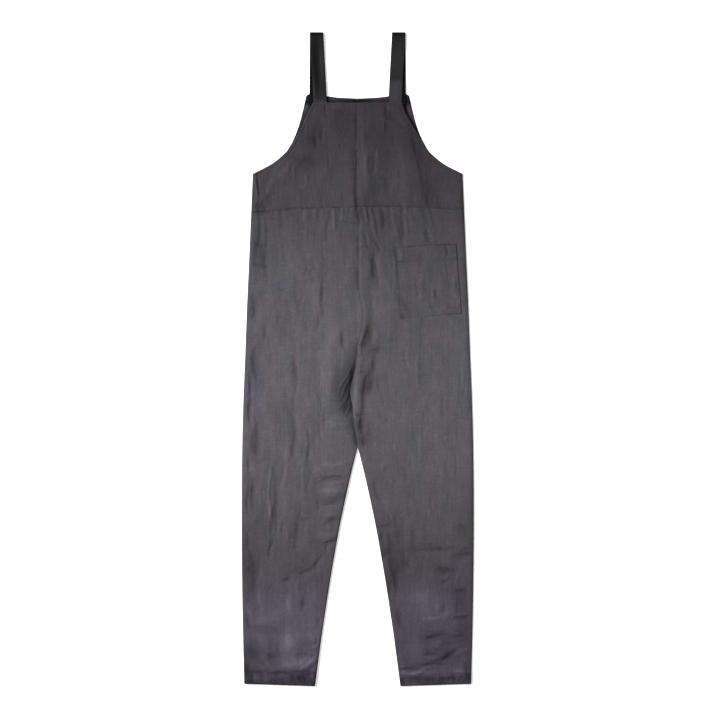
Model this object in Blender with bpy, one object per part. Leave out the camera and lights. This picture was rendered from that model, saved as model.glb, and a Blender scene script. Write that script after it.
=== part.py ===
# Dungarees of washed linen, laid flat on their back with the straps folded over at the top.
# Sizes are in millimetres and become metres as the meshes are made. X runs to the viewer's right,
# Y from the hems to the straps and Z up from the surface underneath. In the tables a height is
# measured along the garment from the lowest hem corner, and x from the middle.

import math

import bpy
import bmesh
from mathutils import Vector

MM = 0.001

# Whole garment
TOTAL_LENGTH = 1437.5
WALL = 1.2                # cloth, seams and all
SEAM_GAP = 0.3            # between pieces where they are sewn together
HALF_GAP = SEAM_GAP / 2

# Front layer over the back layer
LOFT = 2.2                # air under the front, away from its edges
EDGE_ROUND = 13.0         # how far in from a side the front reaches its loft
OPEN_EDGE_LIFT = 0.35     # share of the loft that is left at a hem, armhole or bib top
LEAST_AIR = 0.1
SOFTENING = 0.9           # how gently a deep trough comes to rest on the back layer
CROTCH_EASE = 40.0        # below the crotch, to where the inner edges are fully rounded
ARMHOLE_START = 1150.0    # the bib's edge turns from a closed side into an open armhole by this height,
ARMHOLE_BLEND = 26.0      # over this distance

# Hems and the pocket
HEM_DEPTH = 26.0
HEM_EXTRA = 0.8           # added by the turned-up cloth
HEM_STEP = 4.0
HEM_RISE = 5.0            # the hem's outer corner stands this much higher than its inner one,
HEM_RISE_FADE = 120.0     # and the rows above it even out over this distance
POCKET_HEM_DEPTH = 32.0
POCKET_HEM_EXTRA = 0.6

# Straps
STRAP_WIDTH = 30.0
STRAP_WALL = 1.6
STRAP_FOLD_RADIUS = 1.8   # at the middle of the strap's thickness
STRAP_FOLD_SIDES = 6
STRAP_FOLD_HEIGHT = TOTAL_LENGTH - STRAP_FOLD_RADIUS - STRAP_WALL / 2
STRAP_BACK_X = 91.0       # middle of the strap from the garment's middle: where it leaves the back,
STRAP_BACK_HEIGHT = 1302.0
STRAP_TOP_X = 90.3        # at its fold,
STRAP_FRONT_X = 82.2      # and where it goes under the bib
STRAP_TAIL = 22.0         # sewn down under the bib
STRAP_LIFT = WALL + SEAM_GAP
# How the two runs climb onto the back layer: (height, share of the lift)
STRAP_CLIMB = [(1306, 1.0), (1319, 0.5), (1332, 0.0)]
# How the fold opens the near run off the far one: (height, share of the fold's width)
STRAP_OPENING = [(1380, 0.0), (1414, 0.7), (STRAP_FOLD_HEIGHT, 1.0)]
TAIL_MARGIN = 10.0        # the bib stays at the strap's height this far round the tail,
TAIL_EASE_ACROSS = 46.0   # and comes down over these distances
TAIL_EASE_DOWN = 105.0

CROTCH_HEIGHT = 728.0
LEGS_PART_HEIGHT = 523.0
BIB_TOP_HEIGHT = 1282.0
BIB_SEAM_X = -3.0
BIB_ROW_BEND = 6          # how late the bib's rows take up the curve of its top edge

# Outlines. (height, distance from the middle)
SIDE_LINE = [(0, 249), (120, 252), (230, 253.9), (370, 254.9), (505, 254), (615, 251.5), (725, 247.1),
             (835, 243), (945, 238), (1055, 233.3), (1126, 230.2)]
INSEAM = [(0, 93.6), (66, 85), (122, 77.4), (232, 60.5), (342, 41.3), (397, 30), (452, 18), (507, 4.7),
          (523, 0.6)]
# (height, x)
CENTRE_SEAM = [(728, -1.5), (750, 0.4), (765, 5.1), (791, 8.8), (820, 11.7), (838, 9), (877, 2), (1017, 2),
               (1053, -2)]
LAP_EDGE = [(523, 0), (531, -0.9), (555, -3.5), (584, -6.4), (601, -10.2), (615, -11.2), (630, -13.9),
            (643, -16.2), (656, -15.2), (679, -9.8), (695, -5.4), (712, -3), (728, -1.5)]
# Lap of the right leg over the left one, between the crotch and where the legs part
LAP_REACH = 9.0           # how far the left leg's front runs on under the right one
LAP_AIR = 0.6
LAP_START = 30.0          # along the legs, from each end, to where the left leg starts to run under
LAP_RAMP = 32.0
LAP_SLOPE = 30.0          # across the right leg, to where it lies flat again
LAP_PROBES = 6
# (x, height)
WAIST_SEAM = [(-232, 1040), (-168, 1048.5), (-96, 1050), (0, 1053), (101, 1053), (232, 1046.5)]
# (distance from the middle, height)
BACK_TOP_EDGE = [(0, 1291.4), (44, 1293.6), (62, 1295.8), (98, 1300.6), (106, 1301.4)]
BACK_ARMHOLE = [(230.2, 1126), (214.5, 1133.7), (193.3, 1144.7), (177.4, 1155.7), (164.8, 1166.7),
                (154.8, 1177.7), (141.8, 1199.7), (128.9, 1232.7), (119.9, 1265.7), (115.2, 1287.7)]
BACK_CORNER = [(112.4, 1298.4), (106, 1301.4)]
FRONT_ARMHOLE = {
    "left": [(230.2, 1126), (214.5, 1133.7), (193.3, 1144.7), (177.4, 1155.7), (164.6, 1166.7),
             (154, 1177.7), (139.6, 1199.7), (126.6, 1222.8), (109.3, 1260.2), (97.6, 1282)],
    "right": [(230.2, 1126), (214.5, 1133.7), (193.3, 1144.7), (177.4, 1155.7), (164.6, 1166.7),
              (154, 1177.7), (136.2, 1209.6), (121.7, 1233.1), (106.9, 1256.9), (97.6, 1282)],
}

# The patch pocket's side edges, run on up and down the leg so that the leg's columns follow them
POCKET_INNER_LINE = [(0, 148), (300, 112), (600, 92), (732, 92), (810, 96.4), (964, 81), (1053, 76)]
POCKET_OUTER_LINE = [(0, 233), (300, 240), (600, 238), (732, 233), (819, 228), (971, 216), (1053, 213)]
POCKET_MIDDLE_X = 155.0
POCKET_BOTTOM = 814.4
POCKET_TOP = 967.4
# How far each height's row climbs per millimetre outwards: (height, climb)
ROW_CLIMB = [(0, 0), (600, 0), (732, 0.03), (POCKET_BOTTOM, 0.072), (POCKET_TOP, 0.053), (1053, 0)]

# Grid of a leg: shares of the width between the lines, and bands of rows from the hem up
INNER_SHARES = [0, 0.05, 0.12, 0.22, 0.34, 0.47, 0.6, 0.74, 0.87]
POCKET_SHARES = [0, 0.12, 0.25, 0.38, 0.5, 0.62, 0.74, 0.87]
OUTER_SHARES = [0, 0.45, 0.78, 1]
# (to height, rows)
LEG_BANDS = [(HEM_DEPTH, 1), (HEM_DEPTH + HEM_STEP, 1), (LEGS_PART_HEIGHT, 19), (CROTCH_HEIGHT, 14),
             (POCKET_BOTTOM, 4), (POCKET_TOP - POCKET_HEM_DEPTH, 6), (POCKET_TOP, 2), (1053, 6)]
BIB_SHARES = [0, 0.05, 0.12, 0.21, 0.31, 0.41, 0.51, 0.61, 0.71, 0.8, 0.89, 0.95, 1]
BIB_SIDE_ROWS = 4
BIB_ARMHOLE_ROWS = 12

# The largest folds of the front: a soft ridge, or a trough where the rise is negative
# (from x, from height, to x, to height, half width, rise)
FOLDS = [
    (-51, 792, -52, 600, 28, 6.2),       # ridge beside the crotch
    (-20, 712, -26, 650, 24, -3.8),      # hollow under the lapping leg
    (-26, 650, -18, 606, 24, -4.2),
    (-34, 770, -34, 738, 13, -1.6),
    (-3, 672, -4, 608, 20, 2.2),         # bulge of the lapping leg
    (36, 712, 27, 650, 21, -2.2),
    (7, 742, 23, 778, 14, -2.2),
    (23, 778, 20, 886, 18, -2.0),
    (33, 892, 32, 942, 15, -2.2),
    (50, 938, 76, 870, 16, 1.5),
    (-78, 892, -78, 806, 16, -1.6),
    (-96, 902, -96, 818, 16, 1.4),
    (-140, 722, -137, 664, 17, -1.5),
    (-83, 712, -78, 610, 16, -1.8),
    (-144, 616, -142, 500, 17, -1.6),
    (-98, 534, -106, 500, 14, -1.3),
    (-180, 480, -186, 340, 17, -2.1),
    (-203, 480, -206, 360, 17, 1.5),
    (-130, 368, -135, 304, 15, -1.4),
    (-222, 562, -225, 518, 16, -1.3),
    (-38, 458, -78, 459, 13, -1.8),      # puckers across the left inseam
    (-26, 484, -74, 484, 13, 1.5),
    (-36, 431, -74, 430, 15, 1.6),
    (-42, 404, -80, 402, 13, -1.5),
    (-162, 232, -88, 266, 18, -2.6),
    (-240, 248, -222, 262, 20, -1.5),
    (-118, 196, -116, 168, 15, -1.5),
    (-216, 156, -162, 158, 24, 1.5),
    (-244, 126, -162, 116, 17, -1.8),
    (-156, 102, -154, 66, 28, 2.6),
    (-197, 66, -177, 62, 16, -1.5),
    (-98, 68, -128, 40, 15, 1.4),
    (72, 346, 80, 214, 27, -2.6),        # slack along the right inseam
    (108, 352, 112, 266, 19, 1.5),
    (128, 302, 188, 301, 15, -1.7),
    (172, 262, 202, 246, 16, -1.8),
    (222, 218, 223, 156, 19, -2.4),
    (152, 190, 166, 152, 28, 1.6),
    (158, 104, 202, 118, 15, -1.9),
    (186, 58, 208, 75, 14, -2.0),
    (97, 28, 178, 50, 15, -1.3),
    (-219, 974, -221, 914, 15, -1.4),
    (118, 1216, 146, 1150, 26, -2.0),    # trough beside the right armhole
    (146, 1150, 173, 1076, 24, -2.0),
    (-212, 1044, -186, 1080, 17, -1.6),
    (-179, 1108, -148, 1144, 18, 1.6),
    (-109, 1192, -108, 1152, 34, -1.4),
    (30, 1166, 30, 1124, 14, -1.2),
    (65, 1120, 65, 1082, 14, -1.2),
    (12, 1264, 11, 1068, 16, 1.2),
]

# Ease gathered into the waist seam: (x at the seam, x at the end, length)
GATHERS = [
    (-168, -166, 60), (-120, -118, 66), (-84, -84, 58), (-58, -60, 70), (-38, -41, 62), (-18, -20, 54),
    (22, 39, 84), (52, 59, 56), (101, 122, 60), (146, 163, 76),
]
GATHER_HALF_WIDTH = 10.0
GATHER_DEPTH = 0.9
GATHER_START = 4.0        # below the waist seam

CENTRE_GROOVE = 0.7
CENTRE_GROOVE_WIDTH = 9.0

# Colours, linear
LEG_COLOUR = (0.094, 0.089, 0.103)
BIB_COLOUR = (0.062, 0.055, 0.066)
STRAP_COLOUR = (0.036, 0.032, 0.039)
LINEN_ROUGHNESS = 0.9


def sign_of(side):
    return -1.0 if side == "left" else 1.0


def smooth_step(value):
    held = min(max(value, 0.0), 1.0)
    return held * held * (3 - 2 * held)


def read_curve(rows, at):
    """Second column of a table at a value of its first, along a smooth curve through the rows."""
    if at <= rows[0][0]:
        return rows[0][1]
    if at >= rows[-1][0]:
        return rows[-1][1]
    below = max(i for i in range(len(rows) - 1) if rows[i][0] <= at)

    def slope(index):
        low = rows[max(index - 1, 0)]
        high = rows[min(index + 1, len(rows) - 1)]
        return (high[1] - low[1]) / (high[0] - low[0])

    (x0, y0), (x1, y1) = rows[below], rows[below + 1]
    span = x1 - x0
    t = (at - x0) / span
    bend = slope(below) * (t - 2 * t ** 2 + t ** 3) + slope(below + 1) * (t ** 3 - t ** 2)
    return y0 * (1 - 3 * t ** 2 + 2 * t ** 3) + y1 * (3 * t ** 2 - 2 * t ** 3) + bend * span


def spread_points(points, count):
    """Points spaced evenly along a smooth curve through the given ones."""
    lengths = [0.0]
    for start, end in zip(points, points[1:]):
        lengths.append(lengths[-1] + math.dist(start, end))
    across = [(length, point[0]) for length, point in zip(lengths, points)]
    along = [(length, point[1]) for length, point in zip(lengths, points)]
    steps = [lengths[-1] * index / (count - 1) for index in range(count)]
    return [(read_curve(across, step), read_curve(along, step)) for step in steps]


def waist_height(x):
    return read_curve(WAIST_SEAM, x)


def side_x(side, height):
    return sign_of(side) * read_curve(SIDE_LINE, height)


def inner_x(side, height, layer):
    """A leg's inner edge: the centre seam above the crotch, the inseam below it."""
    if height >= CROTCH_HEIGHT:
        return read_curve(CENTRE_SEAM, height) + sign_of(side) * HALF_GAP
    if height <= LEGS_PART_HEIGHT:
        return sign_of(side) * read_curve(INSEAM, height)
    if layer == "front":
        edge = read_curve(LAP_EDGE, height) + sign_of(side) * HALF_GAP
        return edge + (LAP_REACH * lap_share(height, LAP_START) if side == "left" else 0.0)
    rise = (height - LEGS_PART_HEIGHT) / (CROTCH_HEIGHT - LEGS_PART_HEIGHT)
    return rise * CENTRE_SEAM[0][1] + sign_of(side) * ((1 - rise) * INSEAM[-1][1] + rise * HALF_GAP)


def lap_share(height, start):
    """How fully the right leg laps over the left one, from nothing at the crotch and where the legs part."""
    from_crotch = smooth_step((CROTCH_HEIGHT - start - height) / LAP_RAMP)
    from_parting = smooth_step((height - LEGS_PART_HEIGHT - start) / LAP_RAMP)
    return from_crotch * from_parting


def hem_extra(height):
    return HEM_EXTRA * smooth_step((HEM_DEPTH + HEM_STEP - height) / HEM_STEP)


def wall_at(height):
    return WALL + hem_extra(height)


def fold_rise(x, height):
    """Height that the folds add to the front layer at a point."""
    rise = 0.0
    for x0, h0, x1, h1, half_width, fold in FOLDS:
        run = (x1 - x0, h1 - h0)
        share = ((x - x0) * run[0] + (height - h0) * run[1]) / (run[0] ** 2 + run[1] ** 2)
        share = min(max(share, 0.0), 1.0)
        away = math.dist((x, height), (x0 + share * run[0], h0 + share * run[1])) / half_width
        if away < 1:
            rise += fold * (0.45 + 2.2 * share * (1 - share)) * (1 - away * away) ** 2
    return rise


def gather_rise(x, height):
    """Shallow troughs that run down from the waist seam."""
    below = waist_height(x) - height - GATHER_START
    if below < 0:
        return 0.0
    rise = 0.0
    for x0, x1, length in GATHERS:
        along = below / length
        away = abs(x - (x0 + (x1 - x0) * along)) / GATHER_HALF_WIDTH
        if along < 1 and away < 1:
            rise -= GATHER_DEPTH * (1 - along) * (1 - away * away) ** 2
    return rise


def groove_rise(x, height):
    seam_x = BIB_SEAM_X if height > waist_height(x) else read_curve(CENTRE_SEAM, height)
    away = abs(x - seam_x) / CENTRE_GROOVE_WIDTH
    if height < CROTCH_HEIGHT or away >= 1:
        return 0.0
    return -CENTRE_GROOVE * (1 - away) ** 2


def rounded(distance):
    """Share of the loft at a distance in from an edge that lies on the back layer."""
    inwards = min(max(distance / EDGE_ROUND, 0.0), 1.0)
    return math.sqrt(1 - (1 - inwards) ** 2)


def strap_tail_lift(x, height):
    """Room under the bib's top corners for the ends of the straps, easing away over the bib."""
    beside = abs(abs(x) - STRAP_FRONT_X) - STRAP_WIDTH / 2 - TAIL_MARGIN
    below = BIB_TOP_HEIGHT - STRAP_TAIL - TAIL_MARGIN - height
    apart = math.hypot(max(beside, 0.0) / TAIL_EASE_ACROSS, max(below, 0.0) / TAIL_EASE_DOWN)
    return (1 - smooth_step(apart)) * (2 * STRAP_WALL + 2 * SEAM_GAP - LEAST_AIR)


def front_under(x, height, edge_distance, open_distance):
    """Underside of the front layer, above the surface that the garment lies on."""
    open_share = OPEN_EDGE_LIFT + (1 - OPEN_EDGE_LIFT) * rounded(open_distance)
    air = LOFT + fold_rise(x, height) + gather_rise(x, height) + groove_rise(x, height)
    air = (air + math.hypot(air, SOFTENING)) / 2
    air = max(air * rounded(edge_distance) * open_share, LEAST_AIR)
    return wall_at(height) + SEAM_GAP + air + strap_tail_lift(x, height)


def leg_rows():
    rows = [0.0]
    for top, count in LEG_BANDS:
        start = rows[-1]
        rows += [start + (top - start) * (index + 1) / count for index in range(count)]
    return rows


def leg_plan(side, layer, shares, rows):
    """Plan points of a leg panel, row by row from the hem, each from the inner edge outwards."""
    sign = sign_of(side)
    waist_row = rows[-1]
    plan = []
    for base in rows:
        line = []
        for kind, share in shares:
            height = base
            for _ in range(3):
                inner = inner_x(side, height, layer)
                marks = [inner, sign * read_curve(POCKET_INNER_LINE, height),
                         sign * read_curve(POCKET_OUTER_LINE, height), side_x(side, height)]
                x = marks[kind] + (marks[kind + 1] - marks[kind]) * share
                climb = read_curve(ROW_CLIMB, base) * (abs(x) - POCKET_MIDDLE_X)
                outwards = (x - inner) / (marks[-1] - inner)
                hem = HEM_RISE * smooth_step(1 - base / HEM_RISE_FADE) * outwards
                height = base + climb + hem
                if base == waist_row:
                    height = waist_height(x) - HALF_GAP
                elif base > POCKET_TOP:
                    near_waist = (base - POCKET_TOP) / (waist_row - POCKET_TOP)
                    height += near_waist * (waist_height(x) - HALF_GAP - waist_row)
            line.append((x, height))
        plan.append(line)
    return plan


def front_leg_shares():
    shares = [(0, share) for share in INNER_SHARES]
    shares += [(1, share) for share in POCKET_SHARES]
    return shares + [(2, share) for share in OUTER_SHARES]


def leg_edge_distance(side, x, height):
    """Distance in from the nearer of the front's side edge and its inner edge, which starts at the crotch."""
    to_side = abs(side_x(side, height) - x)
    to_inner = abs(x - inner_x(side, height, "front"))
    below_crotch = smooth_step((CROTCH_HEIGHT - height) / CROTCH_EASE)
    if to_inner < EDGE_ROUND:
        to_inner = EDGE_ROUND - (EDGE_ROUND - to_inner) * below_crotch
    return min(to_side, to_inner)


def front_leg_under(side, x, height):
    under = front_under(x, height, leg_edge_distance(side, x, height), height)
    if side == "right":
        under += lap_lift(x, height)
    return under


def lap_lift(x, height):
    """Raises the right leg's inner edge where it laps over the left leg below the crotch."""
    if not LEGS_PART_HEIGHT < height < CROTCH_HEIGHT:
        return 0.0
    edge_x = read_curve(LAP_EDGE, height)
    lapped = [edge_x + LAP_REACH * index / LAP_PROBES for index in range(LAP_PROBES + 1)]
    left_top = max(front_leg_under("left", at, height) for at in lapped) + WALL
    lift = (left_top + LAP_AIR - WALL - SEAM_GAP) * lap_share(height, 0.0)
    return lift * (1 - smooth_step((x - edge_x - LAP_REACH) / LAP_SLOPE))


def make_panel(name, plan, under, walls, colour):
    """A closed wall of cloth: the plan's points on its underside, and again one wall higher."""
    bm = bmesh.new()
    rows, columns = len(plan), len(plan[0])
    layers = []
    for upper in (False, True):
        grid = []
        for r in range(rows):
            line = []
            for c in range(columns):
                x, height = plan[r][c]
                z = under[r][c] + (walls[r][c] if upper else 0.0)
                line.append(bm.verts.new(to_world(x, height, z)))
            grid.append(line)
        layers.append(grid)
    low, high = layers
    for r in range(rows - 1):
        for c in range(columns - 1):
            square = [(r, c), (r, c + 1), (r + 1, c + 1), (r + 1, c)]
            for triangle in ((0, 1, 2), (0, 2, 3)):
                corners = [square[index] for index in triangle]
                bm.faces.new([high[i][j] for i, j in corners])
                bm.faces.new([low[i][j] for i, j in reversed(corners)])
    border = [(0, c) for c in range(columns - 1)] + [(r, columns - 1) for r in range(rows - 1)]
    border += [(rows - 1, c) for c in range(columns - 1, 0, -1)] + [(r, 0) for r in range(rows - 1, 0, -1)]
    for (i, j), (m, n) in zip(border, border[1:] + border[:1]):
        bm.faces.new([low[i][j], low[m][n], high[m][n], high[i][j]])
    bmesh.ops.recalc_face_normals(bm, faces=bm.faces)
    return finish_object(name, bm, colour)


def to_world(x, height, z):
    return Vector((x * MM, (height - TOTAL_LENGTH / 2) * MM, z * MM))


def finish_object(name, bm, colour):
    mesh = bpy.data.meshes.new(name)
    bm.to_mesh(mesh)
    bm.free()
    mesh.shade_smooth()
    mesh.set_sharp_from_angle(angle=math.radians(40))
    mesh.materials.append(linen(name, colour))
    item = bpy.data.objects.new(name, mesh)
    bpy.context.scene.collection.objects.link(item)
    return item


def linen(name, colour):
    material = bpy.data.materials.new(name)
    material.use_nodes = True
    shader = material.node_tree.nodes["Principled BSDF"]
    shader.inputs["Base Color"].default_value = (*colour, 1.0)
    shader.inputs["Roughness"].default_value = LINEN_ROUGHNESS
    shader.inputs["Metallic"].default_value = 0.0
    return material


def for_each_point(plan, value_at):
    return [[value_at(x, height) for x, height in line] for line in plan]


def front_leg(side):
    plan = leg_plan(side, "front", front_leg_shares(), leg_rows())
    under = for_each_point(plan, lambda x, height: front_leg_under(side, x, height))
    walls = for_each_point(plan, lambda x, height: wall_at(height))
    make_panel("front_leg_" + side, plan, under, walls, LEG_COLOUR)
    return plan, under, walls


def back_leg(side):
    shares = [(0, 0), (0, 1), (1, 1), (2, 1)]
    plan = leg_plan(side, "back", shares, leg_rows()[::2] + [leg_rows()[-1]])
    under = for_each_point(plan, lambda x, height: 0.0)
    walls = for_each_point(plan, lambda x, height: wall_at(height))
    make_panel("back_leg_" + side, plan, under, walls, LEG_COLOUR)


def patch_pocket(leg):
    """The pocket lies on the leg's own points, moved out."""
    plan, under, walls = leg
    rows = leg_rows()
    left = len(INNER_SHARES)
    right = left + len(POCKET_SHARES)
    cut, lifted, thick = [], [], []
    for index in range(rows.index(POCKET_BOTTOM), rows.index(POCKET_TOP) + 1):
        in_hem = rows[index] > POCKET_TOP - POCKET_HEM_DEPTH
        columns = range(left, right + 1)
        cut.append([plan[index][c] for c in columns])
        lifted.append([under[index][c] + walls[index][c] + SEAM_GAP for c in columns])
        thick.append([WALL + (POCKET_HEM_EXTRA if in_hem else 0.0) for _ in columns])
    make_panel("patch_pocket", cut, lifted, thick, LEG_COLOUR)


def bib_outer_edge(side, layer):
    """Points up the side seam, then round the armhole."""
    armhole = BACK_ARMHOLE if layer == "back" else FRONT_ARMHOLE[side]
    armhole = [(sign_of(side) * x, height) for x, height in armhole]
    waist_end = side_x(side, waist_height(armhole[0][0]))
    side_edge = [(waist_end, waist_height(waist_end) + HALF_GAP), armhole[0]]
    edge = spread_points(side_edge, BIB_SIDE_ROWS + 1)[:-1] + spread_points(armhole, BIB_ARMHOLE_ROWS + 1)
    if layer == "back":
        edge += [(sign_of(side) * x, height) for x, height in BACK_CORNER]
    return edge


def between(start, end, share):
    return start + (end - start) * share


def bib_plan(side, layer):
    """Rows from the waist seam up, each from the centre seam out to the side, then the armhole."""
    outer = bib_outer_edge(side, layer)
    seam_x = BIB_SEAM_X + sign_of(side) * HALF_GAP
    seam_foot = waist_height(seam_x) + HALF_GAP
    seam_top = BACK_TOP_EDGE[0][1] if layer == "back" else BIB_TOP_HEIGHT
    edge_length = sum(math.dist(start, end) for start, end in zip(outer, outer[1:]))
    travelled = 0.0
    plan = []
    for index, (edge_x, edge_height) in enumerate(outer):
        if index > 0:
            travelled += math.dist(outer[index - 1], outer[index])
        climb = travelled / edge_length
        seam_height = between(seam_foot, seam_top, climb)
        line = []
        for share in BIB_SHARES:
            height = between(seam_height, edge_height, share)
            foot_x = between(seam_x, outer[0][0], share)
            foot_bend = waist_height(foot_x) + HALF_GAP - between(seam_foot, outer[0][1], share)
            height += (1 - climb) * foot_bend
            if layer == "back":
                top_x = between(seam_x, outer[-1][0], share)
                top_bend = read_curve(BACK_TOP_EDGE, abs(top_x)) - between(seam_top, outer[-1][1], share)
                height += climb ** BIB_ROW_BEND * top_bend
            line.append((between(seam_x, edge_x, share), height))
        plan.append(line)
    return plan


def front_bib(side):
    plan = bib_plan(side, "front")
    under = []
    for line in plan:
        edge_x, edge_height = line[-1]
        on_side = smooth_step((ARMHOLE_START - edge_height) / ARMHOLE_BLEND)
        values = []
        for x, height in line:
            to_edge = abs(edge_x - x)
            side_distance = to_edge + (1 - on_side) * EDGE_ROUND
            open_distance = min(BIB_TOP_HEIGHT - height, to_edge + on_side * EDGE_ROUND)
            values.append(front_under(x, height, side_distance, open_distance))
        under.append(values)
    walls = for_each_point(plan, lambda x, height: WALL)
    make_panel("front_bib_" + side, plan, under, walls, BIB_COLOUR)


def back_bib(side):
    plan = bib_plan(side, "back")
    under = for_each_point(plan, lambda x, height: 0.0)
    walls = for_each_point(plan, lambda x, height: WALL)
    make_panel("back_bib_" + side, plan, under, walls, BIB_COLOUR)


def strap_middle(foot_x, foot_height, height):
    """The strap's middle at a height, on the straight line from its foot to its fold."""
    share = (STRAP_FOLD_HEIGHT - height) / (STRAP_FOLD_HEIGHT - foot_height)
    return between(STRAP_TOP_X, foot_x, share)


def strap_path(side):
    """The strap's middle line from its end on the back, up over the fold to its end under the bib."""
    half = STRAP_WALL / 2
    stacked = STRAP_WALL + SEAM_GAP
    opened = 2 * STRAP_FOLD_RADIUS
    heights = [BIB_TOP_HEIGHT - STRAP_TAIL] + [height for height, _ in STRAP_CLIMB + STRAP_OPENING]
    path = []
    for height in heights:
        z = half + STRAP_LIFT * read_curve(STRAP_CLIMB, height)
        path.append((strap_middle(STRAP_BACK_X, STRAP_BACK_HEIGHT, height), height, z))
    for index in range(1, STRAP_FOLD_SIDES):
        angle = math.pi * index / STRAP_FOLD_SIDES
        path.append((STRAP_TOP_X, STRAP_FOLD_HEIGHT + STRAP_FOLD_RADIUS * math.sin(angle),
                     half + STRAP_FOLD_RADIUS * (1 - math.cos(angle))))
    for height in reversed(heights):
        apart = between(stacked, opened, read_curve(STRAP_OPENING, height))
        z = half + STRAP_LIFT * read_curve(STRAP_CLIMB, height) + apart
        path.append((strap_middle(STRAP_FRONT_X, BIB_TOP_HEIGHT, height), height, z))
    return [(sign_of(side) * x, height, z) for x, height, z in path]


def strap(side):
    path = strap_path(side)
    bm = bmesh.new()
    rings = []
    for index, (x, height, z) in enumerate(path):
        before = path[max(index - 1, 0)]
        after = path[min(index + 1, len(path) - 1)]
        run = Vector((after[1] - before[1], after[2] - before[2])).normalized()
        out = Vector((-run.y, run.x)) * STRAP_WALL / 2
        ring = []
        for across, up in ((-1, -1), (1, -1), (1, 1), (-1, 1)):
            corner = to_world(x + across * STRAP_WIDTH / 2, height + up * out.x, z + up * out.y)
            ring.append(bm.verts.new(corner))
        rings.append(ring)
    for start, end in zip(rings, rings[1:]):
        for i in range(4):
            j = (i + 1) % 4
            bm.faces.new([start[i], start[j], end[j], end[i]])
    bm.faces.new(rings[0])
    bm.faces.new(rings[-1])
    bmesh.ops.recalc_face_normals(bm, faces=bm.faces)
    finish_object("strap_" + side, bm, STRAP_COLOUR)


def clear_scene():
    for item in list(bpy.data.objects):
        bpy.data.objects.remove(item, do_unlink=True)


def build():
    clear_scene()
    for side in ("left", "right"):
        back_leg(side)
        back_bib(side)
        strap(side)
        front_bib(side)
        leg = front_leg(side)
        if side == "right":
            patch_pocket(leg)


build()
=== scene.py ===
import math
import bpy
import numpy as np
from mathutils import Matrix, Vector


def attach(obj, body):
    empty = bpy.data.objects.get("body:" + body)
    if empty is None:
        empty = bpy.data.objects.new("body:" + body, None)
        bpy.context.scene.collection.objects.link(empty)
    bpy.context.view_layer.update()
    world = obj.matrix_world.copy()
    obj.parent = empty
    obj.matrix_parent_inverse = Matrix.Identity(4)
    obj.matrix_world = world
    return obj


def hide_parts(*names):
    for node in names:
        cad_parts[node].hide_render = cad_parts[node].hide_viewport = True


# Washed linen dungarees, laid flat on their back. Lengths are millimetres until a mesh is made.
# x runs to the viewer's right from the middle, h runs up the garment from the lowest hem corner.

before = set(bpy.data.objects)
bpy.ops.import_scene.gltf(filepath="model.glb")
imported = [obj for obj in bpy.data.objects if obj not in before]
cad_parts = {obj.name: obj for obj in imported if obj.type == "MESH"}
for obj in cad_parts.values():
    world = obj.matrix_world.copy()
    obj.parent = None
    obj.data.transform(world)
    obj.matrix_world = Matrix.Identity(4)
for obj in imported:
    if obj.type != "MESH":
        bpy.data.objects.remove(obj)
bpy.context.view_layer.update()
print("frame loaded:", len(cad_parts), "nodes")

garment = {
    "length": 1437.5,
    "wall": 1.2,             # cloth with its seams
    "layerGap": 0.3,         # between cloth that touches
    "loft": 2.3,             # air under the front
    "leastAir": 0.1,
    "softening": 0.9,        # how gently a deep trough comes to rest on the back
    "edgeRound": 13.0,       # the front comes down over this much at a closed edge
    "openLift": 0.35,        # share of the loft left at an open edge
    "crotch": 728.0,
    "crotchEase": 40.0,      # below the crotch, to where the inner edges are fully rounded
    "legsPart": 523.0,
    "leftInseam": (1.6, 30.0),       # how much sooner the left inseam reaches its loft, and over what height
    "bibTop": 1282.0,
    "bibSeam": -3.0,
    "openFrom": (1122.0, 10.0, 40.0),       # the bib's side opens: height, over, distance added
    "waistRow": 1053.0,
    "waistBend": 900.0,      # from here up the rows bend to follow the waist seam
    "seamSplit": 0.02,       # half the slit between two sewn pieces
    "backShift": 1.2,        # the back's seams beside the front's
}
hem = {
    "depth": 26.0,
    "extra": 0.6,            # added by the turned-up cloth
    "step": 9.0,
    "rise": 5.0,             # outer hem corner over the inner one
    "fade": 120.0,
    "stitch": 24.0,          # stitch line above the edge
    "groove": (0.55, 1.8, 0.4),       # depth, half width, share of the band's wander
    "band": 16.0,
    "pucker": 0.42,          # height of the ripples in the band
    "ripples": [(8.5, 26, 1.0, 71), (4.675, 14, 0.6, 73)],       # across, along, height, seed
    "slanted": (0.7, 0.3, 7, 11, 0.8, 75),       # two slants, then the same
    "wander": [(17, 2, 2.2, 831), (6, 4, 0.9, 832)],       # across, row of the noise, height, seed
}

# (height, distance from the middle)
sideLine = [(0, 249), (120, 252), (230, 253.9), (370, 254.9), (505, 254), (615, 251.5), (725, 247.1),
            (835, 243), (945, 238), (1055, 233.3), (1126, 230.2)]
inseam = [(0, 93.6), (66, 85), (122, 77.4), (232, 60.5), (342, 41.3), (397, 30), (452, 18), (507, 4.7),
          (523, 0.6)]
# (height, x)
centreSeam = [(728, -1.5), (750, 0.4), (765, 5.1), (791, 8.8), (820, 11.7), (838, 9), (877, 2), (1017, 2),
              (1053, -2)]
lapEdge = [(523, 0), (531, -0.9), (555, -3.5), (584, -6.4), (601, -10.2), (615, -11.2), (630, -13.9),
           (643, -16.2), (656, -15.2), (679, -9.8), (695, -5.4), (712, -3), (728, -1.5)]
# (x, height)
waistSeam = [(-232, 1040), (-168, 1048.5), (-96, 1050), (0, 1053), (101, 1053), (232, 1046.5)]
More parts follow.
